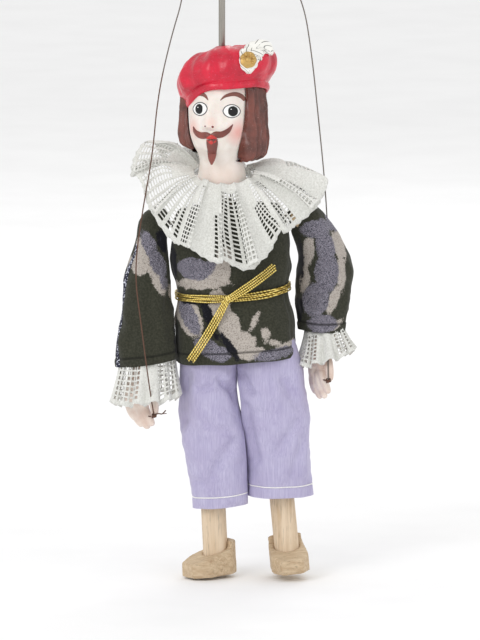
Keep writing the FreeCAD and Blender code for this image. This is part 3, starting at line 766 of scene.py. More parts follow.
def make_head():
    levels = np.concatenate([np.linspace(-93, -97, 8)[:-1], np.linspace(-97, -130, 96),
                             np.linspace(-130, -142, 18)[1:]])
    head = sheet_of("head_skin", [[head_surface(t, z) for t in round_turns(144)]
                                  for z in levels], FACE, caps=True)
    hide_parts("head")
    tree = tree_of(head)
    parts = [head]

    for name, x, z, wide, high, shift, pupil, tall in (
            ("right", -8.2, -111.2, 2.75, 2.55, -0.15, 1.65, 2.25),
            ("left", 3.7, -112.1, 3.35, 2.55, 0.35, 2.15, 2.25)):
        for layer, off, half_x, half_z, point, count, material, lift, dome in (
                ("line", 0, wide + 0.35, high + 0.3, 1.15, 40, EYE_LINE, 0.05, 0.1),
                ("white", 0, wide, high, 1.15, 40, EYE_WHITE, 0.12, 0.3),
                ("iris", shift, pupil, tall, 1.0, 32, IRIS, 0.2, 0.34),
                ("pupil", shift, pupil * 0.86, tall * 0.86, 1.0, 32, PUPIL, 0.27, 0.36)):
            parts.append(patch(f"eye_{name}_{layer}", tree, (x + off, z),
                               almond(x + off, z, half_x, half_z, point, count), material,
                               lift, dome))

    def dab(spots, half_x, half_z, count, material, lift, dome):
        for name, x, z, size in spots:
            outline = almond(x, z, size * half_x, size * half_z, count=count)
            parts.append(patch(name, tree, (x, z), outline, material, lift, dome, 3))

    def brush(material, *strokes, **how):
        for name, line, widths in strokes:
            parts.append(stroke(name, tree, line, widths, material, **how))

    dab((("eye_glint_0", -8.6, -110.5, 1), ("eye_glint_1", 3.4, -111.3, 1)), 0.28, 0.28, 12,
        EYE_WHITE, 0.62, 0.1)
    brush(BROW, ("brow_right", ((-12.0, -106.2), (-10.3, -105.7), (-8.2, -105.5), (-6.4, -106.2),
                                (-5.2, -107.9)), (0.7, 0.95, 0.85, 0.7, 0.15)),
          ("brow_left", ((-0.6, -108.0), (1.4, -106.4), (4.6, -105.6), (7.2, -106.3),
                         (8.6, -107.8)), (0.15, 0.6, 0.85, 0.95, 0.7)), dome=0.25)
    dab((("nostril_right", -6.35, -117.9, 0.42), ("nostril_left", -3.5, -118.15, 0.65)), 1, 0.75,
        16, NOSTRIL, 0.06, 0.0)
    brush(WHISKER, ("moustache_right", ((-10.8, -117.9), (-9.9, -119.9), (-8.0, -121.3),
                                        (-5.8, -121.4), (-4.0, -122.0)),
                    (0.12, 0.75, 1.3, 1.35, 0.9)),
          ("moustache_left", ((-4.2, -122.0), (-2.4, -121.2), (0.0, -121.0), (2.4, -119.5),
                              (4.1, -117.2)), (0.9, 1.35, 1.25, 0.9, 0.15)), dome=0.7, grooves=1)
    brush(WHISKER, ("goatee", ((-3.75, -122.9), (-3.7, -124.6), (-3.7, -127.2), (-3.8, -129.8),
                               (-3.9, -131.9)), (2.2, 2.3, 1.85, 1.35, 0.3)),
          dome=0.9, front=-12.6, grooves=1)
    brush(LIP, ("lip_upper", ((-5.6, -122.5), (-3.8, -122.0), (-2.0, -122.5)), (0.3, 1.0, 0.3)),
          lift=0.5, dome=0.45, count=16)
    brush(LIP, ("lip_lower", ((-5.4, -123.2), (-3.8, -123.9), (-2.2, -123.2)), (0.3, 1.0, 0.3)),
          lift=0.55, dome=0.5, count=16)
    for part in parts:
        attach(part, "control")


def make_hair():
    """A thick curtain of grooved hair, open over the face, with rounded ends."""
    start, end = math.radians(64), math.radians(360 - 70)
    columns = 150
    rows = []
    levels = np.linspace(-98, -132, 70)
    for z in levels:
        outer, inner = [], []
        for k in range(columns):
            share = k / (columns - 1)
            turn = start + (end - start) * share
            bottom = -130.6 + 3.4 * max(0, math.sin(turn * 0.5 - 0.6)) * (share > 0.5)
            fraction = (z + 98) / -34
            level = -98 + fraction * (bottom - 1.6 - 0.3 * math.sin(share * 90) + 98)
            half_x, half_y, back = profile((
                (-98.0, 13.4, 14.0, 1.0), (-104.0, 15.2, 15.8, 1.4), (-112.0, 15.9, 16.3, 1.7),
                (-120.0, 16.4, 16.5, 1.8), (-126.0, 16.7, 16.3, 1.8), (-129.5, 16.1, 15.9, 1.6),
                (-131.0, 14.6, 14.6, 1.4), (-132.0, 12.4, 12.6, 1.2)), z)
            wave = 0.35 * math.sin(level / 3.1 + 9 * share) + 0.2 * math.sin(level / 1.7)
            groove = math.sin(share * 2 * math.pi * 21 + wave * 1.3)
            lift = 0.62 * groove + 0.28 * math.sin(share * 2 * math.pi * 47 + wave * 3)
            lift += 0.35 * wobble((10 * share * 8, level, 0), 6.0, 3.0)
            edge = min(share, 1 - share) * columns / 5
            lift -= 1.9 * (1 - min(1, edge)) ** 2
            head_x, head_y, head_back = profile(HEAD_SHAPE, max(level, -142))
            s, c = math.sin(turn), math.cos(turn)
            outer.append(turned_z((half_x + lift) * s, back - (half_y + lift) * c, HEAD_YAW)
                         + (level,))
            reach = 0.45 if z > -131 else 1.8
            inner.append(turned_z((head_x + reach) * s, head_back - (head_y + reach) * c,
                                  HEAD_YAW) + (level,))
        rows.append(outer + inner[::-1])
    hair = sheet_of("hair_locks", rows, HAIR, caps=True)
    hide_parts("hair")
    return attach(hair, "control")


def hat_point(x, y, z):
    """From the beret's own frame, with its rim level, to the row frame."""
    turn = Matrix.Rotation(math.radians(-13), 3, "Y") @ Matrix.Rotation(math.radians(-20), 3, "X")
    return turn @ Vector((x, y, z)) + Vector((0.6, 2.0, -100.5))


def make_beret():
    shape = np.array([
        (0.3, 9.6, 3.0, 0.8), (4.0, 9.6, 3.0, 0.8), (8.5, 9.0, 3.0, 0.8), (12.5, 7.9, 2.7, 0.6),
        (15.8, 6.0, 2.4, 0.3), (18.2, 3.2, 2.0, 0.0), (18.9, 0.3, 1.4, 0.0),
        (18.3, -2.6, 0.9, 0.0), (16.9, -5.0, 0.2, 0.0), (15.9, -6.3, 0.0, 0.0),
        (16.1, -7.3, 0.0, 0.0), (16.0, -8.6, 0.0, 0.0), (15.2, -9.4, 0.0, 0.0),
        (14.2, -8.8, 0.0, 0.0), (14.2, -6.5, 0.0, 0.0)])
    line = smooth_line(shape, 90)
    rows = []
    for i, (radius, z, cx, cy) in enumerate(line):
        row = []
        soft = min(1, i / 12) * (1 if z > -4.5 and i < 60 else 0.15)
        for turn in round_turns(220):
            c, s = math.cos(turn), math.sin(turn)
            fold = wobble((1.5 * c, 1.5 * s, radius / 16), 1.0, 1.7, 2)
            crease = -abs(wobble((2.2 * c, 2.2 * s, radius / 11), 1.3, 6.1, 2))
            swell = soft * (1.3 * fold + 1.5 * crease + 0.45)
            swell += 0.8 * soft * hump((turn + math.pi + 2.4) % (2 * math.pi) - 3.0, 0.5)
            rise = 1.9 * hump(turn - 4.2, 0.5) * min(1.0, max(0.0, (i - 44) / 16))
            half = radius + swell * (0.8 if i > 30 else 0.3)
            row.append(hat_point(cx + half * c, cy + half * 0.955 * s,
                                 z + rise + swell * (0.3 if i > 30 else 0.8)))
        rows.append(row)
    beret = sheet_of("beret_felt", rows, HAT, caps=True)
    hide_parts("beret")
    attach(beret, "control")
    return tree_of(beret)


def make_plume_and_badge(hat):
    """The plume lies on the hat's front and curls right over its top; the badge sits on it."""
    spine = smooth_line([
        (10.2, -97.9), (10.1, -95.4), (10.3, -92.4), (11.2, -89.6), (13.6, -88.1), (16.4, -87.7),
        (19.4, -89.2)], 60)
    widths = smooth_line([(0.7,), (3.2,), (4.0,), (4.4,), (4.0,), (3.2,), (0.9,)], 60)[:, 0]
    ahead = np.gradient(spine, axis=0)
    rows, barbs = [], []
    across = 20
    for i, ((x, z), half, (dx, dz)) in enumerate(zip(spine, widths, ahead)):
        size = math.hypot(dx, dz)
        row = []
        for k in range(across + 1):
            u = 2 * k / across - 1
            reach = u * (half + 0.12 * math.sin(i * 0.7 + (u > 0) * 2) * abs(u) ** 4)
            px, pz = x - dz / size * reach, z + dx / size * reach
            at, _ = project(hat, px, pz, miss=9.0)
            at.y = min(at.y, -6.0 - 0.55 * max(0.0, 18.0 - px))
            dome = 1.5 * math.sqrt(max(0, 1 - u * u)) * min(1.0, half / 1.5)
            ridge = 0.05 * math.sin(i * 0.55 - abs(u) * 5)
            row.append(at - VIEW * (dome + ridge * (abs(u) < 0.97) + (0.1 if abs(u) < 1 else -1)))
            barbs.append(i / 60 * 8 - abs(u) * 1.9 + (0.5 if u > 0 else 0))
        rows.append(row)
    plume = sheet_of("plume_feather", rows, PLUME, closed=False, values={"barb": barbs})
    thicken(plume, 0.6, -1.0)
    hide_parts("plume")
    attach(plume, "control")

    tree = tree_of(plume)
    x, z = 9.9, -92.6
    outline = []
    for turn in round_turns(56):
        beat = 1 + 0.035 * math.cos(7 * turn)
        outline.append((x + 3.15 * beat * math.cos(turn), z + 3.3 * beat * math.sin(turn)))
    base = patch("badge_base", tree, (x, z), outline, BADGE, 0.25, 0.55, 12, 3.0)
    bosses = [base]
    at, normal = project(tree, x, z)
    for k in range(7):
        turn = 2 * math.pi * k / 7 + 0.3
        out = at + Vector((2.1 * math.cos(turn), 0, 2.2 * math.sin(turn))) + normal * 0.7
        line = [out + Vector((0.85 * s * math.cos(turn), -0.12 * (1 - s * s),
                              0.85 * s * math.sin(turn))) for s in (-1, -0.5, 0, 0.5, 1)]
        bosses.append(tube(f"boss_{k}", line, (0.1, 0.42, 0.5, 0.42, 0.1), BADGE, 8))
    heart = [at + normal * h for h in (0.3, 0.9, 1.2, 1.4)]
    bosses.append(tube("boss_middle", heart, (1.25, 1.2, 0.8, 0.1), BADGE, 20))
    badge = joined("badge_rosette", bosses)
    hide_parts("badge")
    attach(badge, "control")


make_head()
make_hair()
HAT_TREE = make_beret()
make_plume_and_badge(HAT_TREE)


# ---- lace ---------------------------------------------------------------------------------
def lace(name, place, across, down, dense):
    """Net with real holes: threads with gaps between them, and close-woven bands.

    place(u, v) gives a point for u around and v from the gathered edge to the rim, 0 to 1.
    """
    thread = 0.34
    us = [(unit + part) / across for unit in range(across) for part in (0.0, thread)]
    vs = [(unit + part) / down for unit in range(down) for part in (0.0, thread)] + [1.0]
    picot = 0.014
    rows = [[place(u, v + (picot if i == len(vs) - 1 and j % 2 == 0 else 0.0))
             for j, u in enumerate(us)] for i, v in enumerate(vs)]

    def hole(i, j):
        if i % 2 == 0 or j % 2 == 0 or i >= len(vs) - 3 or i < 2:
            return False
        return not dense(us[j], vs[i])

    return thicken(sheet_of(name, rows, LACE, skip=hole), 0.26)


RUFF_RIM = (
    (-180, 3, 21, -146), (-158, -9, 19, -138.5), (-135, -22, 12, -131), (-112, -32, 5, -128.8),
    (-95, -34.3, -3, -136), (-80, -31, -10, -143), (-62, -25.5, -16, -152),
    (-42, -17.5, -20, -161), (-20, -8, -22.5, -166.8), (0, 3, -23.5, -169.8),
    (20, 12, -22.5, -168.3), (42, 21.5, -19.5, -162), (62, 30, -15, -155.5),
    (80, 37, -8.5, -148), (98, 38.5, 0, -144), (125, 31, 10, -141.5), (155, 15, 18, -143.5),
    (180, 3, 21, -146))
RUFF_FLUTES = 13


def ruff_base(u, v):
    turn = 360 * u - 180
    x, y, z = profile(RUFF_RIM, turn)
    angle = math.radians(turn)
    front = max(0.0, math.cos(angle))
    inner = Vector((0.9 + 11.6 * math.sin(angle), 0.3 - 11.6 * math.cos(angle),
                    -136.6 - 3.4 * front))
    uneven = wobble((5 * math.cos(angle), 5 * math.sin(angle), 0), 1.6, 2.7, 1)
    spot = inner.lerp(Vector((x, y, z)), v * (0.97 + 0.06 * uneven))
    bulge = math.sin(math.pi * min(v, 1.0))
    spot.z += 2.6 * bulge * (1 - 0.5 * front)
    spot.y -= 2.2 * bulge * front
    return spot


def ruff_point(u, v):
    spot = ruff_base(u, v)
    along = ruff_base(u + 0.004, v) - ruff_base(u - 0.004, v)
    out = ruff_base(u, v + 0.03) - ruff_base(u, v - 0.03)
    normal = out.cross(along).normalized()
    if normal.z < 0:
        normal = -normal
    beat = 2 * math.pi * RUFF_FLUTES * u
    beat += 1.9 * wobble((4 * math.cos(6.28 * u), 4 * math.sin(6.28 * u), 0), 1.3, 4.2, 1)
    wave = math.sin(beat) + 0.30 * math.sin(2 * beat + 0.7) + 0.25
    size = 0.8 + 2.7 * min(v, 1.0) ** 0.8
    size *= 1 + 0.55 * wobble((4 * math.cos(6.28 * u), 4 * math.sin(6.28 * u), 2 * v), 1.1, 8.8, 1)
    side = along.normalized() * (1.25 * size * math.cos(beat))
    fine = 0.25 * wobble((90 * u, 12 * v, 0), 2.0, 1.1, 1)
    return spot + normal * (size * wave + fine) + side


def make_ruff():
    def dense(u, v):
        beat = (RUFF_FLUTES * u + 0.12 + 0.4 * math.sin(19 * u)) % 1.0
        return beat < 0.34 or v < 0.12 or (beat < 0.6 and v < 0.4)

    ruff = lace("ruff_lace", ruff_point, 168, 19, dense)
    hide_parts("ruff")
    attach(ruff, "torso")


# centre and half widths at the gathered edge and at the rim, and how much the rim slopes
CUFF_SHAPE = {
    "r": ((-28.2, -4.2, -207.0), (10.2, 8.2), (-29.0, -6.6, -223.6), (12.8, 10.2), 0.10, 13),
    "l": ((38.4, 5.6, -197.2), (6.9, 6.6), (39.4, 0.9, -208.6), (10.8, 10.2), 0.26, 12)}


def make_cuff(side):
    top, top_half, rim, rim_half, slope, flutes = CUFF_SHAPE[side]

    def place(u, v):
        turn = 2 * math.pi * u
        c, s = math.cos(turn), math.sin(turn)
        centre = Vector(top).lerp(Vector(rim), v)
        flare = v ** 1.3
        half_x = top_half[0] + (rim_half[0] - top_half[0]) * flare
        half_y = top_half[1] + (rim_half[1] - top_half[1]) * flare
        beat = flutes * turn + 0.9 * wobble((3 * c, 3 * s, 0), 1.5, 2.0, 1)
        wave = (0.25 + 1.1 * v) * (math.sin(beat) + 0.3 * math.sin(2 * beat + 1))
        sway = wobble((2 * c, 2 * s, v), 1.0, 7.0, 1)
        x, y = (half_x + wave) * c, (half_y + wave) * s
        return centre + Vector((x, y, slope * x + 0.7 * wave * v + 0.9 * v * sway))

    def dense(u, v):
        return (4 * u + 0.2) % 1.0 < 0.45 or v < 0.12

    cuff = lace("cuff_lace_" + side, place, 52 if side == "r" else 46, 9, dense)
    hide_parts("cuff_" + side)
    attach(cuff, "forearm_" + side)


make_ruff()
for SIDE in SIDES:
    make_cuff(SIDE)


# ---- jacket -------------------------------------------------------------------------------
# Printed fields, partly painted shade: centre x, centre z, half width, half height and tilt in
# degrees
TRUNK_PRINT_AND_SHADE = {
    "grey": (
        (-2.3, -174.1, 5.6, 5.4, 0), (-7.5, -178.2, 10.5, 2.3, 4), (-1.2, -186.2, 4.4, 5.6, 10),
        (2.7, -193.9, 4.4, 5.2, 14), (7.2, -199.6, 5.8, 3.6, -10), (10.5, -204.2, 6.4, 2.6, 0),
        (12.2, -192.6, 1.1, 3.4, -26), (16.6, -197.0, 1.9, 2.3, 20), (19.5, -200.6, 3.4, 1.1, -18),
        (24.4, -202.4, 5.2, 1.4, 14), (-12.6, -191.0, 4.6, 8.4, 26), (1.0, -168.0, 3.0, 4.0, 0)),
    "lavender": (
        (-10.5, -172.8, 6.8, 4.1, -6), (-4.8, -171.3, 2.8, 1.8, 30), (-12.3, -191.4, 3.1, 7.2, 26),
        (-5.6, -202.4, 5.2, 3.4, -24), (-1.0, -204.6, 5.0, 3.0, 0), (20.4, -204.9, 8.4, 2.2, 8)),
    # painted shade under the belt and ruff, between sleeves and trunk and in folds, with dark
    # print
    "dark": (
        (-11.3, -185.0, 7.4, 1.5, 0), (-5.6, -189.4, 1.9, 4.8, 24), (3.0, -202.0, 1.5, 6.4, 34),
        (-18.8, -172.0, 1.8, 7.5, 0), (-2.0, -198.4, 0.8, 3.4, 40), (27.6, -176.0, 1.6, 5.0, 0)),
}
# each sleeve's dark blots are painted shade where it meets the trunk and under the ruff
SLEEVE_PRINT_AND_SHADE = {
    "r": {
        "grey": ((-30.4, -167.2, 3.0, 5.8, 0), (-31.2, -172.0, 3.2, 3.6, 10),
                 (-24.0, -178.2, 2.2, 5.0, 24), (-26.6, -172.4, 2.4, 4.0, 30)),
        "lavender": ((-27.6, -164.0, 2.6, 5.6, 24), (-24.4, -171.0, 2.6, 6.0, 22),
                     (-22.2, -178.0, 1.4, 3.2, 20)),
        "dark": ((-22.0, -163.0, 2.4, 5.0, 20), (-16.8, -198.0, 1.4, 8.0, 0))},
    "l": {
        "grey": ((32.6, -168.0, 2.2, 6.4, -8), (31.2, -178.4, 2.0, 6.0, 0),
                 (44.4, -165.6, 2.4, 6.2, 20), (45.2, -176.0, 1.9, 7.4, 0),
                 (42.4, -186.2, 2.0, 6.0, -22), (42.2, -196.0, 4.0, 1.5, 20)),
        "lavender": ((35.5, -158.4, 6.4, 3.4, 10), (39.2, -166.0, 3.6, 7.2, 12),
                     (39.9, -176.0, 4.6, 8.2, 0), (35.6, -186.4, 5.0, 6.4, -20),
                     (38.0, -195.2, 5.6, 3.4, 0)),
        "dark": ((29.6, -172.0, 1.6, 8.0, 0), (29.4, -190.4, 1.4, 4.0, 0))}}
BELT_DROP = 35.7
SLEEVE_GAP = 1.2
TRUNK_POWER = 2.4
TRUNK_SEAM = 56.4


def print_and_shade_fields(points, depths, layout):
    """How far inside each print or painted-shade field every point is; the back has a print of its
    own.
    """
    found = {key: [] for key in layout}
    for (x, y, z), back in zip(points, depths):
        share = min(1.0, max(0.0, (back + 3.0) / 5.0))
        for n, (key, blots) in enumerate(layout.items()):
            best = -6.0
            for cx, cz, half_x, half_z, tilt in blots:
                c, s = math.cos(math.radians(tilt)), math.sin(math.radians(tilt))
                dx, dz = x - cx, z - cz
                u, v = (dx * c + dz * s) / half_x, (dz * c - dx * s) / half_z
                best = max(best, (1 - math.hypot(u, v)) * min(half_x, half_z) * 1.3)
            other = 5.0 * wobble((x, y, z), 13.0, 11.0 + 17 * n, 2) - (1.2 + 0.5 * n)
            found[key].append(best * (1 - share) + other * share)
    return found


def trunk_half(drop):
    """The jacket's half width and half depth, at a drop below the neck pin."""
    return profile((
        (-0.6, 8.6, 7.2), (0.6, 12.6, 8.6), (2.2, 17.8, 10.1), (4.0, 19.6, 10.8),
        (9.0, 21.6, 12.0), (18.0, 22.5, 12.8), (28.0, 22.4, 12.8), (34.2, 20.9, 12.1),
        (37.2, 20.9, 12.1), (44.0, 22.6, 14.0), (52.0, 22.9, 15.0), (60.6, 22.9, 15.6)), drop)


def outside_trunk(spot):
    """Push a point straight out of the jacket's trunk where it would be inside it."""
    c, s = math.cos(LEAN), math.sin(LEAN)
    dx, dz = spot[0] - NECK_PIN.x, spot[2] - NECK_PIN.z
    across, drop = dx * c - dz * s, -(dx * s + dz * c)
    if drop < 15 or drop > 64:
        return spot
    half_x, half_y = trunk_half(drop) + SLEEVE_GAP
    level = (abs(across / half_x) ** TRUNK_POWER
             + abs(spot[1] / half_y) ** TRUNK_POWER) ** (1 / TRUNK_POWER)
    if level >= 1:
        return spot
    ease = min(1.0, (drop - 15) / 6.0)
    grow = 1 + (1 / level - 1) * ease
    x, _, z = leaned(across * grow, 0, drop)
    return (x, spot[1] * grow, z)


def make_trunk():
    rows, seam = [], []
    for level in np.concatenate([np.linspace(-0.6, 34.5, 48), np.linspace(35, 60.6, 46)]):
        half_x, half_y = trunk_half(level)
        drop = max(level, 1.3 + 0.5 * level)
        row = []
        for turn in round_turns(210):
            x, y = oval(turn, 1, 1, TRUNK_POWER)
            below, above = max(0.0, drop - BELT_DROP), max(0.0, BELT_DROP - drop)
            gather = math.exp(-below / 9.0) * (below > 0) + math.exp(-above / 7.0) * (above > 0)
            lift = 0.30 * gather * math.sin(19 * turn + 2.2 * wobble((x, y, 0), 0.7, 3.0))
            lift += 0.75 * wobble((14 * x, 14 * y, drop * 0.55), 8.0, 5.0, 2) * min(1, below / 8)
            lift += 0.45 * wobble((14 * x, 14 * y, drop * 0.8), 7.0, 9.0, 2) * min(1, above / 6)
            lift += 0.35 * hump(drop - 58.4, 2.2) - 0.30 * hump(drop - TRUNK_SEAM, 0.5)
            size = 1 + max(-1.2, lift) / math.hypot(half_x * x, half_y * y)
            hem = 0.5 * wobble((8 * x, 8 * y, 0), 5.0, 2.0, 1) * max(0.0, drop - 54) / 6
            row.append(leaned(half_x * x * size, half_y * y * size, drop + hem))
            seam.append(abs(drop - TRUNK_SEAM))
        rows.append(row)
    points = [p for row in rows for p in row]
    values = print_and_shade_fields(points, [y for _, y, _ in points], TRUNK_PRINT_AND_SHADE)
    values["seam"] = seam
    trunk = cloth("jacket_trunk", rows, CAMO, values)
    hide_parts("jacket")
    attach(trunk, "torso")


# (z, centre x, centre y, half width, half depth) down each sleeve, its hem slope and its split
SLEEVE_SHAPE = {
    "r": (((-151.2, -24.6, 0.0, 2.4, 3.0), (-152.4, -24.9, 0.0, 4.4, 4.8),
           (-156.0, -25.6, -0.2, 6.0, 6.4), (-162.0, -26.6, -0.6, 6.0, 7.0),
           (-166.0, -27.2, -1.0, 6.2, 7.2), (-171.0, -27.7, -1.6, 7.1, 7.8),
           (-178.0, -28.3, -2.0, 8.3, 8.6), (-186.0, -28.6, -2.4, 9.5, 9.2),
           (-194.0, -28.5, -2.9, 10.5, 9.6), (-202.0, -28.3, -3.5, 11.5, 9.8),
           (-209.2, -27.8, -4.2, 11.8, 9.8)), 0.165, -172.0),
    "l": (((-148.2, 30.0, 0.4, 2.4, 3.0), (-149.6, 30.4, 0.8, 4.6, 4.8),
           (-153.0, 31.6, 1.6, 6.8, 6.4), (-157.0, 33.6, 3.0, 7.6, 7.2),
           (-163.0, 36.0, 6.2, 8.8, 8.0), (-171.0, 38.4, 10.4, 9.9, 9.0),
           (-180.0, 38.9, 12.4, 10.5, 9.8), (-188.0, 38.6, 10.4, 10.5, 9.8),
           (-194.0, 38.3, 7.8, 9.8, 9.2), (-198.6, 38.2, 5.8, 9.0, 8.6)), -0.05, -167.0)}


def make_sleeve(side):
    table, slope, split = SLEEVE_SHAPE[side]
    top, bottom = table[0][0], table[-1][0]
    seed = 21.0 if side == "r" else 33.0
    levels = [*np.linspace(top, split, 26), *np.linspace(split, bottom, 64)[1:]]
    rows, seams, strips, backs = [], [], [], []
    for z in levels:
        cx, cy, half_x, half_y = profile(table, z)
        share = (top - z) / (top - bottom)
        row, seam, strip, back = [], [], [], []
        for turn in round_turns(130):
            c, s = math.cos(turn), math.sin(turn)
            lift = 1.0 * wobble((9 * c, 9 * s, z * 0.45), 7.5, seed, 2) * min(1, 4 * share)
            lift -= 0.5 * abs(wobble((9 * c, 9 * s, z * 1.1), 6.0, seed + 4, 1)) * share
            hem = z - bottom
            lift += 0.35 * hump(hem - 1.6, 1.8) - 0.30 * hump(hem - 3.2, 0.45)
            x = (half_x + lift) * c
            row.append(outside_trunk((cx + x, cy + (half_y + lift) * s,
                                      z + slope * x * share ** 2)))
            seam.append(abs(hem - 3.2))
            away = abs(turn - math.pi - 0.30) * half_x
            back.append(half_y * s)
            strip.append(1.3 - away if side == "r" and share > 0.22 else -3.0)
        rows.append(row)
        seams.append(seam)
        strips.append(strip)
        backs.append(back)
    cut = 25
    for part, first, last in (("upper", 0, cut + 1), ("lower", cut, len(rows))):
        spots, depths, seam, strip = (
            [v for row in kept[first:last] for v in row] for kept in (rows, backs, seams, strips))
        values = print_and_shade_fields(spots, depths, SLEEVE_PRINT_AND_SHADE[side])
        values.update(seam=seam, strip=strip)
        sleeve = cloth(f"sleeve_{part}_{side}", rows, CAMO, values, first, last)
        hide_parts("sleeve_" + side)
        if part == "upper":
            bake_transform(sleeve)
        else:
            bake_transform(sleeve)


make_trunk()
for SIDE in SIDES:
    make_sleeve(SIDE)


# ---- belt ---------------------------------------------------------------------------------
def belt_point(turn, drop, out):
    half_x, half_y = trunk_half(BELT_DROP)
    x, y = oval(turn, half_x + out, half_y + out, TRUNK_POWER)
    sag = -1.7 * max(0.0, x / 21) ** 2 - 0.7 * min(0.0, x / 21) ** 2
    return leaned(x, y, drop + sag)


def make_belt():
    strands = []
    for k in range(4):
        turns = np.linspace(-math.pi / 2, 1.5 * math.pi, 181)
        line = [belt_point(t, BELT_DROP - 1.17 + 0.78 * k + 0.10 * math.sin(7 * t + 3 * k),
                           1.05 + 0.12 * (k % 2) + 0.06 * math.sin(40 * t + 2 * k))
                for t in turns]
        strands.append(tube(f"strand_{k}", line, 0.34, GOLD, 8))
    belt = joined("belt_cord", strands)
    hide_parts("belt")

    knot_at = Vector(leaned(-2.4, -14.4, BELT_DROP + 0.4))
    wraps = []
    for k in range(4):
        tilt = -0.5 + 0.45 * k
        ring = []
        for t in np.linspace(0, 2 * math.pi, 25):
            along = Vector((math.sin(tilt), 0, math.cos(tilt)))
            ring.append(knot_at + along * (1.7 * math.cos(t))
                        + Vector((math.cos(tilt) * 0.3 * (k - 1.5), -0.75 * math.sin(t), 0)))
        wraps.append(tube(f"wrap_{k}", ring, 0.42, GOLD, 8))
    knot = joined("belt_knot_wraps", wraps)
    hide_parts("belt_knot")

    ends = []
    for n, (across, rise, forward) in enumerate(((18.0, 13.0, 1.3), (-13.6, -22.4, 2.6))):
        line = Vector((across, -forward, rise))
        flat = Vector((-rise, 0, across)).normalized()
        for k in range(4):
            shift = (k - 1.5) * 0.86
            points = []
            for t in np.linspace(0, 1.0 + 0.015 * ((k * 7 + n) % 3), 40):
                bow = 0.5 * math.sin(math.pi * t) * (1 if n else -1)
                spread = shift * (0.75 + 0.25 * min(1, 3 * t)) + bow
                points.append(knot_at + Vector((0, -0.5, 0)) + line * t + flat * spread
                              + Vector((0, -0.1 * math.sin(22 * t + k), 0)))
            ends.append(tube(f"end_{n}_{k}", points, 0.34, GOLD, 8))
    tails = joined("belt_end_strands", ends)
    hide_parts("belt_ends")
    for made in (belt, knot, tails):
        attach(made, "torso")


make_belt()


# ---- breeches -----------------------------------------------------------------------------
LEG_SHAPE = {
    "r": (((-203.0, -4.9, 0.0, 10.0, 10.4), (-208.0, -5.1, 0.0, 10.9, 11.6),
           (-213.0, -5.2, 0.0, 10.9, 11.8), (-222.0, -5.3, 0.0, 10.4, 11.4),
           (-230.0, -4.6, 0.0, 11.2, 11.3), (-238.0, -3.5, 0.0, 11.9, 11.2),
           (-249.0, -2.1, 0.1, 11.5, 10.8), (-260.0, -0.7, 0.2, 10.6, 10.4),
           (-265.0, -0.4, 0.3, 10.3, 10.3)), 0.10),
    "l": (((-201.0, 16.9, 0.0, 10.8, 10.4), (-207.0, 17.6, 0.0, 11.7, 11.6),
           (-213.0, 18.2, 0.0, 12.3, 11.8), (-222.0, 19.3, 0.0, 12.5, 11.5),
           (-232.0, 20.5, 0.0, 12.5, 11.3), (-245.0, 22.0, 0.3, 12.1, 11.0),
           (-256.0, 22.2, 0.6, 11.9, 10.7), (-261.2, 22.3, 0.6, 11.8, 10.6)), 0.0)}
# how far the white stitch lies above the hem
STITCH_RISE = 4.3
# creases of each leg: two ends (x, z), width and depth, in millimetres
CREASES = {
    "r": (((-1.0, -215.0), (4.0, -221.0), 1.6, 1.0), ((-9.0, -219.0), (0.0, -217.5), 1.4, 0.7),
          ((4.0, -239.0), (-4.0, -253.0), 2.0, 0.9), ((-14.0, -214.0), (-15.0, -232.0), 2.6, 0.9),
          ((-8.0, -232.0), (2.0, -236.0), 1.8, 0.5), ((-12.0, -254.0), (-5.0, -256.5), 1.6, 0.5)),
    "l": (((8.5, -214.0), (12.0, -220.0), 1.5, 1.0), ((10.0, -226.0), (13.5, -246.0), 2.0, 0.9),
          ((24.0, -216.0), (30.0, -226.0), 2.2, 0.7), ((29.0, -232.0), (21.0, -243.0), 1.8, 0.7),
          ((31.0, -238.0), (27.0, -252.0), 1.6, 0.6), ((14.0, -228.0), (22.0, -230.0), 1.8, 0.4))}
# where the legs meet: z, x and half the gap between them
MEETING = ((-200, 5.85, 0.02), (-216.5, 5.85, 0.02), (-220.5, 6.1, 0.45), (-226, 6.7, 0.45),
           (-230, 7.3, 0.02), (-240, 8.8, 0.02), (-250, 9.5, 0.02), (-266, 9.9, 0.02))


def crease_depth(x, z, creases):
    total = 0.0
    for (ax, az), (bx, bz), width, depth in creases:
        dx, dz = bx - ax, bz - az
        t = min(1.0, max(0.0, ((x - ax) * dx + (z - az) * dz) / (dx * dx + dz * dz)))
        total += depth * hump(math.hypot(x - ax - t * dx, z - az - t * dz), width)
    return total


def leg_surface(side, z, turn, out=0.0):
    """A point of one breeches leg, and its height above the hem."""
    table, slope = LEG_SHAPE[side]
    bottom = table[-1][0]
    cx, cy, half_x, half_y = profile(table, z)
    x, y = oval(turn, 1, 1, 2.15)
    seed = 41.0 if side == "r" else 57.0
    share = min(1.0, (table[0][0] - z) / 12)
    lift = 0.9 * wobble((9 * x, 9 * y, z * 0.4), 8.5, seed, 2) * share
    lift += 0.25 * wobble((9 * x, 9 * y, z * 0.9), 3.0, seed + 3, 1) * share
    if y < 0:
        lift -= 1.9 * crease_depth(cx + half_x * x, z, CREASES[side]) * min(1.0, -2 * y)
    hem = z - bottom
    lift += 0.3 * hump(hem - 2.0, 2.0) - 0.25 * hump(hem - STITCH_RISE, 0.5)
    sign = SIDES[side]
    wide = 1.12 if x * sign < 0 else 1.0
    px, py = cx + (half_x + lift + out) * x * wide, cy + (half_y + lift + out) * y
    middle, gap = profile(MEETING, z)
    limit = middle + sign * (gap + 1.5 * out)
    if (px - limit) * sign < 0:
        px = limit
    drop = slope * (px - cx) * max(0.0, min(1.0, (-240 - z) / 20))
    return (px, py, z + drop), hem


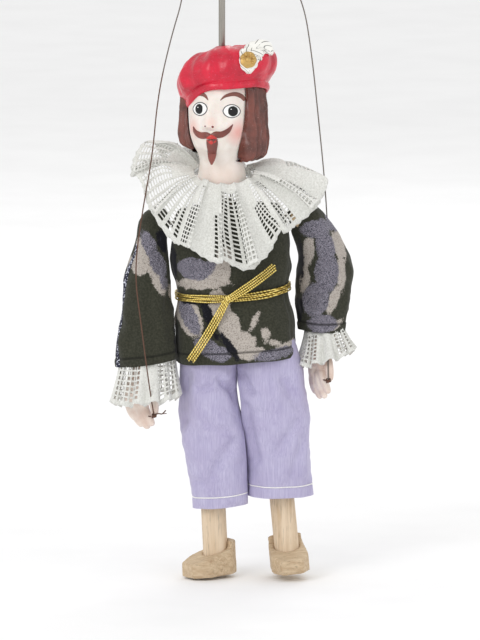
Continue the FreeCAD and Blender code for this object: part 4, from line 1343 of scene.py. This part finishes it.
def make_leg(side):
    table, _ = LEG_SHAPE[side]
    split = -228.0
    levels = [*np.linspace(table[0][0], split, 40), *np.linspace(split, table[-1][0], 56)[1:]]
    cut, columns = 39, 150
    rows, seams = [], []
    for z in levels:
        made = [leg_surface(side, z, turn) for turn in round_turns(columns)]
        rows.append([point for point, _ in made])
        seams.append([abs(hem - STITCH_RISE) for _, hem in made])
    upper = cloth("breeches_upper_" + side, rows, BREECHES,
                  {"seam": [v for row in seams[:cut + 1] for v in row]}, 0, cut + 1)
    lower = cloth("breeches_lower_" + side, rows, BREECHES,
                  {"seam": [v for row in seams[cut:] for v in row]}, cut)
    stitch_z = table[-1][0] + STITCH_RISE
    ring = [leg_surface(side, stitch_z, t, 0.16)[0] for t in np.linspace(0, 2 * math.pi, 181)]
    stitch = tube("hem_stitch_" + side, ring, 0.24, STITCH, 6)
    for leg in (upper, lower):
        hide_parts("trouser_leg_" + side)
    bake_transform(upper)
    for leg in (lower, stitch):
        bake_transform(leg)


def make_seat():
    """The breeches' waist, gathered on the hips under the jacket."""
    rows, seams = [], []
    for drop in np.linspace(45, 58.5, 26):
        half_x, half_y = profile(((45.0, 19.6, 9.4), (54.0, 20.6, 11.2), (62.0, 21.0, 12.4)), drop)
        row = []
        for turn in round_turns(150):
            x, y = oval(turn, 1, 1, 2.6)
            pleat = 0.3 * math.sin(24 * turn) * (62 - drop) / 17
            row.append(leaned((half_x + pleat) * x, (half_y + pleat) * y, drop))
            seams.append(9.0)
        rows.append(row)
    seat = cloth("breeches_seat", rows, BREECHES, {"seam": seams})
    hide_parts("trousers_seat")
    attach(seat, "torso")


make_seat()
for SIDE in SIDES:
    make_leg(SIDE)


# ---- hands --------------------------------------------------------------------------------
def down_of(side):
    return (Vector(WRIST[side]) - Vector(ELBOW[side])).normalized()


def hand_frame(side):
    """Turns a hand that hangs from the origin so that it hangs from the wrist."""
    down = down_of(side)
    spin = Matrix.Rotation(math.radians(HAND_TURN[side]), 3, "Z")
    turn = Vector((0, 0, -1)).rotation_difference(down).to_matrix()
    return turn @ spin, Vector(WRIST[side])


# how far each hand is turned about its wrist, in degrees
HAND_TURN = {"r": 50, "l": 0}
# fingers and thumb: paths hanging from the wrist, with a radius at each point
HAND_BONES = (
    ("palm_a", ((0, 0.2, 1.0), (0, 0.2, -5.0), (0.2, 0.6, -11.0)), (3.0, 3.3, 2.9)),
    ("palm_b", ((0, 1.0, -3.0), (0, 3.4, -9.0), (-0.2, 3.8, -14.0)), (2.8, 2.7, 2.3)),
    ("palm_c", ((0, -0.6, -3.0), (0, -1.4, -8.0), (0.2, -1.2, -12.5)), (2.8, 2.8, 2.4)),
    ("index", ((0.2, -0.4, -11.0), (0.6, -1.0, -16.0), (0.8, -2.4, -20.0), (0.7, -3.6, -22.4)),
     (2.0, 1.7, 1.45, 1.0)),
    ("middle", ((0.1, 1.4, -11.5), (0.4, 1.2, -17.0), (0.6, -0.2, -21.4), (0.5, -1.6, -23.4)),
     (2.0, 1.75, 1.5, 1.0)),
    ("ring", ((0, 3.2, -11.5), (0, 3.4, -16.5), (0.2, 2.2, -20.8), (0.2, 0.8, -22.8)),
     (1.9, 1.65, 1.4, 0.95)),
    ("little", ((-0.2, 4.6, -10.5), (-0.4, 5.0, -15.0), (-0.2, 4.2, -18.6), (0, 3.0, -20.4)),
     (1.7, 1.45, 1.25, 0.85)),
    ("thumb", ((0.2, -2.4, -4.5), (0.3, -4.6, -9.5), (0.3, -5.7, -14.0), (0.4, -5.6, -18.4)),
     (2.1, 1.9, 1.65, 1.25)))


def make_hand(side):
    """One plaster hand; the right one is fuller and curls in, the left one is spread flat."""
    turn, at = hand_frame(side)
    size, skew, curl = (1.12, 0.0, 0.010) if side == "r" else (1.0, -0.55, 0.0)
    parts = []
    for name, path, radii in HAND_BONES:
        line = smooth_line([(*p, r) for p, r in zip(path, radii)], 24)
        ends = np.linspace(-1, 1, 24)
        caps = np.sqrt(np.maximum(0.0, 1 - np.abs(ends) ** 10)) * 0.96 + 0.04
        points = [turn @ Vector((p[0] + skew * (p[1] + 5.0), p[1] * size, p[2])) + at
                  for p in line]
        points = [p + Vector((curl * max(0.0, at.z - 7 - p.z) ** 2, 0, 0)) for p in points]
        parts.append(tube(name, points, line[:, 3] * caps * size, HAND, 16))
    hand = joined("hand_cast_" + side, parts)
    modify(hand, "REMESH", mode="VOXEL", voxel_size=0.36 * MM, use_smooth_shade=True)
    modify(hand, "SMOOTH", factor=0.5, iterations=2)
    if not hand.data.materials:
        hand.data.materials.append(HAND)
    hand.data.polygons.foreach_set("use_smooth", [True] * len(hand.data.polygons))
    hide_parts("hand_" + side)
    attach(hand, "forearm_" + side)
    return tree_of(hand)


# ---- strings ------------------------------------------------------------------------------
# the CAD route of each thread, from the hand bar down to the hand
STRING_ROUTE = {
    "r": ((-15.0, 0, -41.3), (-15.0, 0, -56.0), (-14.2, -0.6, -69.0), (-19.4, -1.6, -86.0),
          (-24.2, -3.4, -107.0), (-26.4, -6.6, -131.0), (-30.2, -11.8, -151.0),
          (-33.2, -14.4, -173.0), (-30.6, -16.8, -193.0), (-28.4, -18.2, -210.0),
          (-26.8, -17.0, -221.5)),
    "l": ((15.0, 0, -41.3), (15.4, 0, -52.0), (23.6, 0, -60.0), (30.8, 0, -72.0),
          (34.0, 0.6, -92.0), (36.6, 1.4, -117.0), (39.0, 3.4, -141.0), (40.2, 5.6, -160.0),
          (40.6, 7.5, -176.0), (41.2, 6.0, -188.0), (40.6, 0.7, -199.5), (40.2, -7.3, -208.8))}
THREAD_RADIUS = 0.25
# where each thread's upper piece meets the lower one
SPLIT_Z = -98.0


def hand_tip(side):
    turn, at = hand_frame(side)
    return turn @ Vector((0, -7.4, -18.0)) + at


def string_line(side):
    """The thread's own line: a smooth curve on the CAD route, read back as points."""
    points = [Vector(p) for p in STRING_ROUTE[side]] + [hand_tip(side)]
    data = bpy.data.curves.new("route_" + side, "CURVE")
    data.dimensions = "3D"
    line = data.splines.new("NURBS")
    line.points.add(len(points) - 1)
    for spot, p in zip(line.points, points):
        spot.co = (*(p * MM), 1)
    line.order_u = 3
    line.use_endpoint_u = True
    line.resolution_u = 16
    curve = bpy.data.objects.new("route_" + side, data)
    bpy.context.scene.collection.objects.link(curve)
    graph = bpy.context.evaluated_depsgraph_get()
    mesh = bpy.data.meshes.new_from_object(curve.evaluated_get(graph), depsgraph=graph)
    found = [v.co / MM for v in mesh.vertices]
    bpy.data.objects.remove(curve)
    bpy.data.meshes.remove(mesh)
    clean = [found[0]]
    for p in found[1:]:
        if (p - clean[-1]).length > 0.05:
            clean.append(p)
    return clean


def turn_about(joint, degrees):
    return (Matrix.Translation(joint["pos_m"])
            @ Matrix.Rotation(math.radians(degrees), 4, Vector(joint["axis"]))
            @ Matrix.Translation(-Vector(joint["pos_m"])))


def lifted_tip(side):
    """Where the hand's end of the thread goes when the arm is fully lifted."""
    joints = {joint["name"]: joint for joint in frame["joints"]}
    arm, elbow = joints["arm_lift_" + side], joints["elbow_" + side]
    inner = turn_about(elbow, elbow["range_deg"][1])
    outer = turn_about(arm, arm["range_deg"][1])
    return (outer @ (inner @ (hand_tip(side) * MM))) / MM


def length_of(points):
    return sum((b - a).length for a, b in zip(points, points[1:])) * MM


def make_string(side):
    line = string_line(side)
    cut = min(range(len(line)), key=lambda i: abs(line[i].z - SPLIT_Z))
    above, below, middle = line[:cut + 1], line[cut:], line[cut]
    upper = tube("thread_upper_" + side, above, THREAD_RADIUS, PALE_THREAD, 10)
    lower = tube("thread_lower_" + side, below, THREAD_RADIUS,
                 THREAD if side == "r" else PALE_THREAD, 10)
    knot_at = hand_tip(side)
    loops = []
    down = down_of(side)
    inward = Vector((0.6, -0.8, 0) if side == "r" else (0.2, -1, 0)).normalized()
    for k in range(3):
        ring = [knot_at + down * (0.5 * (k - 1) + 0.4) + inward * 0.3
                + Vector((0.75 * math.cos(t), 0.75 * math.sin(t), 0.25 * math.sin(t + k)))
                for t in np.linspace(0, 2 * math.pi, 17)]
        loops.append(tube(f"loop_{k}", ring, 0.26, THREAD, 8))
    if side == "r":
        for name, offsets, count, thick in (
                ("tail", ((0, 0, 0), (1.8, -0.4, 0.5), (3.2, -0.3, 0.4), (4.6, 0.1, 1.7)),
                 16, 0.24),
                ("tail_fork", ((3.2, -0.3, 0.4), (4.9, -0.1, 0.5)), 6, 0.16)):
            tail = smooth_line([knot_at + Vector(offset) for offset in offsets], count)
            loops.append(tube(name, tail, thick, THREAD, 8))
    across = down.cross(inward).normalized()
    core = knot_at - inward * 2.0 + down
    band = []
    for t in np.linspace(0, 2 * math.pi, 40):
        out = inward * math.cos(t) + across * math.sin(t)
        point = HAND_TREES[side].ray_cast(core + out * 8, -out)[0]
        if point is not None and (point - core).length < 3.6:
            band.append(point + out * 0.1)
    if len(band) > 6:
        loops.append(tube("hand_loop", band + band[:1], 0.22, THREAD, 8))
    knot = joined("hand_knot_loops_" + side, loops)
    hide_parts("hand_knot_" + side)
    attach(knot, "forearm_" + side)

    move = lifted_tip(side) - knot_at
    for made in (upper, lower):
        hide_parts("hand_string_" + side)
    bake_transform(upper)
    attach(lower, "torso")
    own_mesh(lower)
    for made, points, end, others in (
            (upper, above, "object", []), (lower, below, "knot", [knot])):
        length_of(points)
        [p * MM for p in points]
        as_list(others)


HAND_TREES = {name: make_hand(name) for name in SIDES}
for SIDE in SIDES:
    make_string(SIDE)
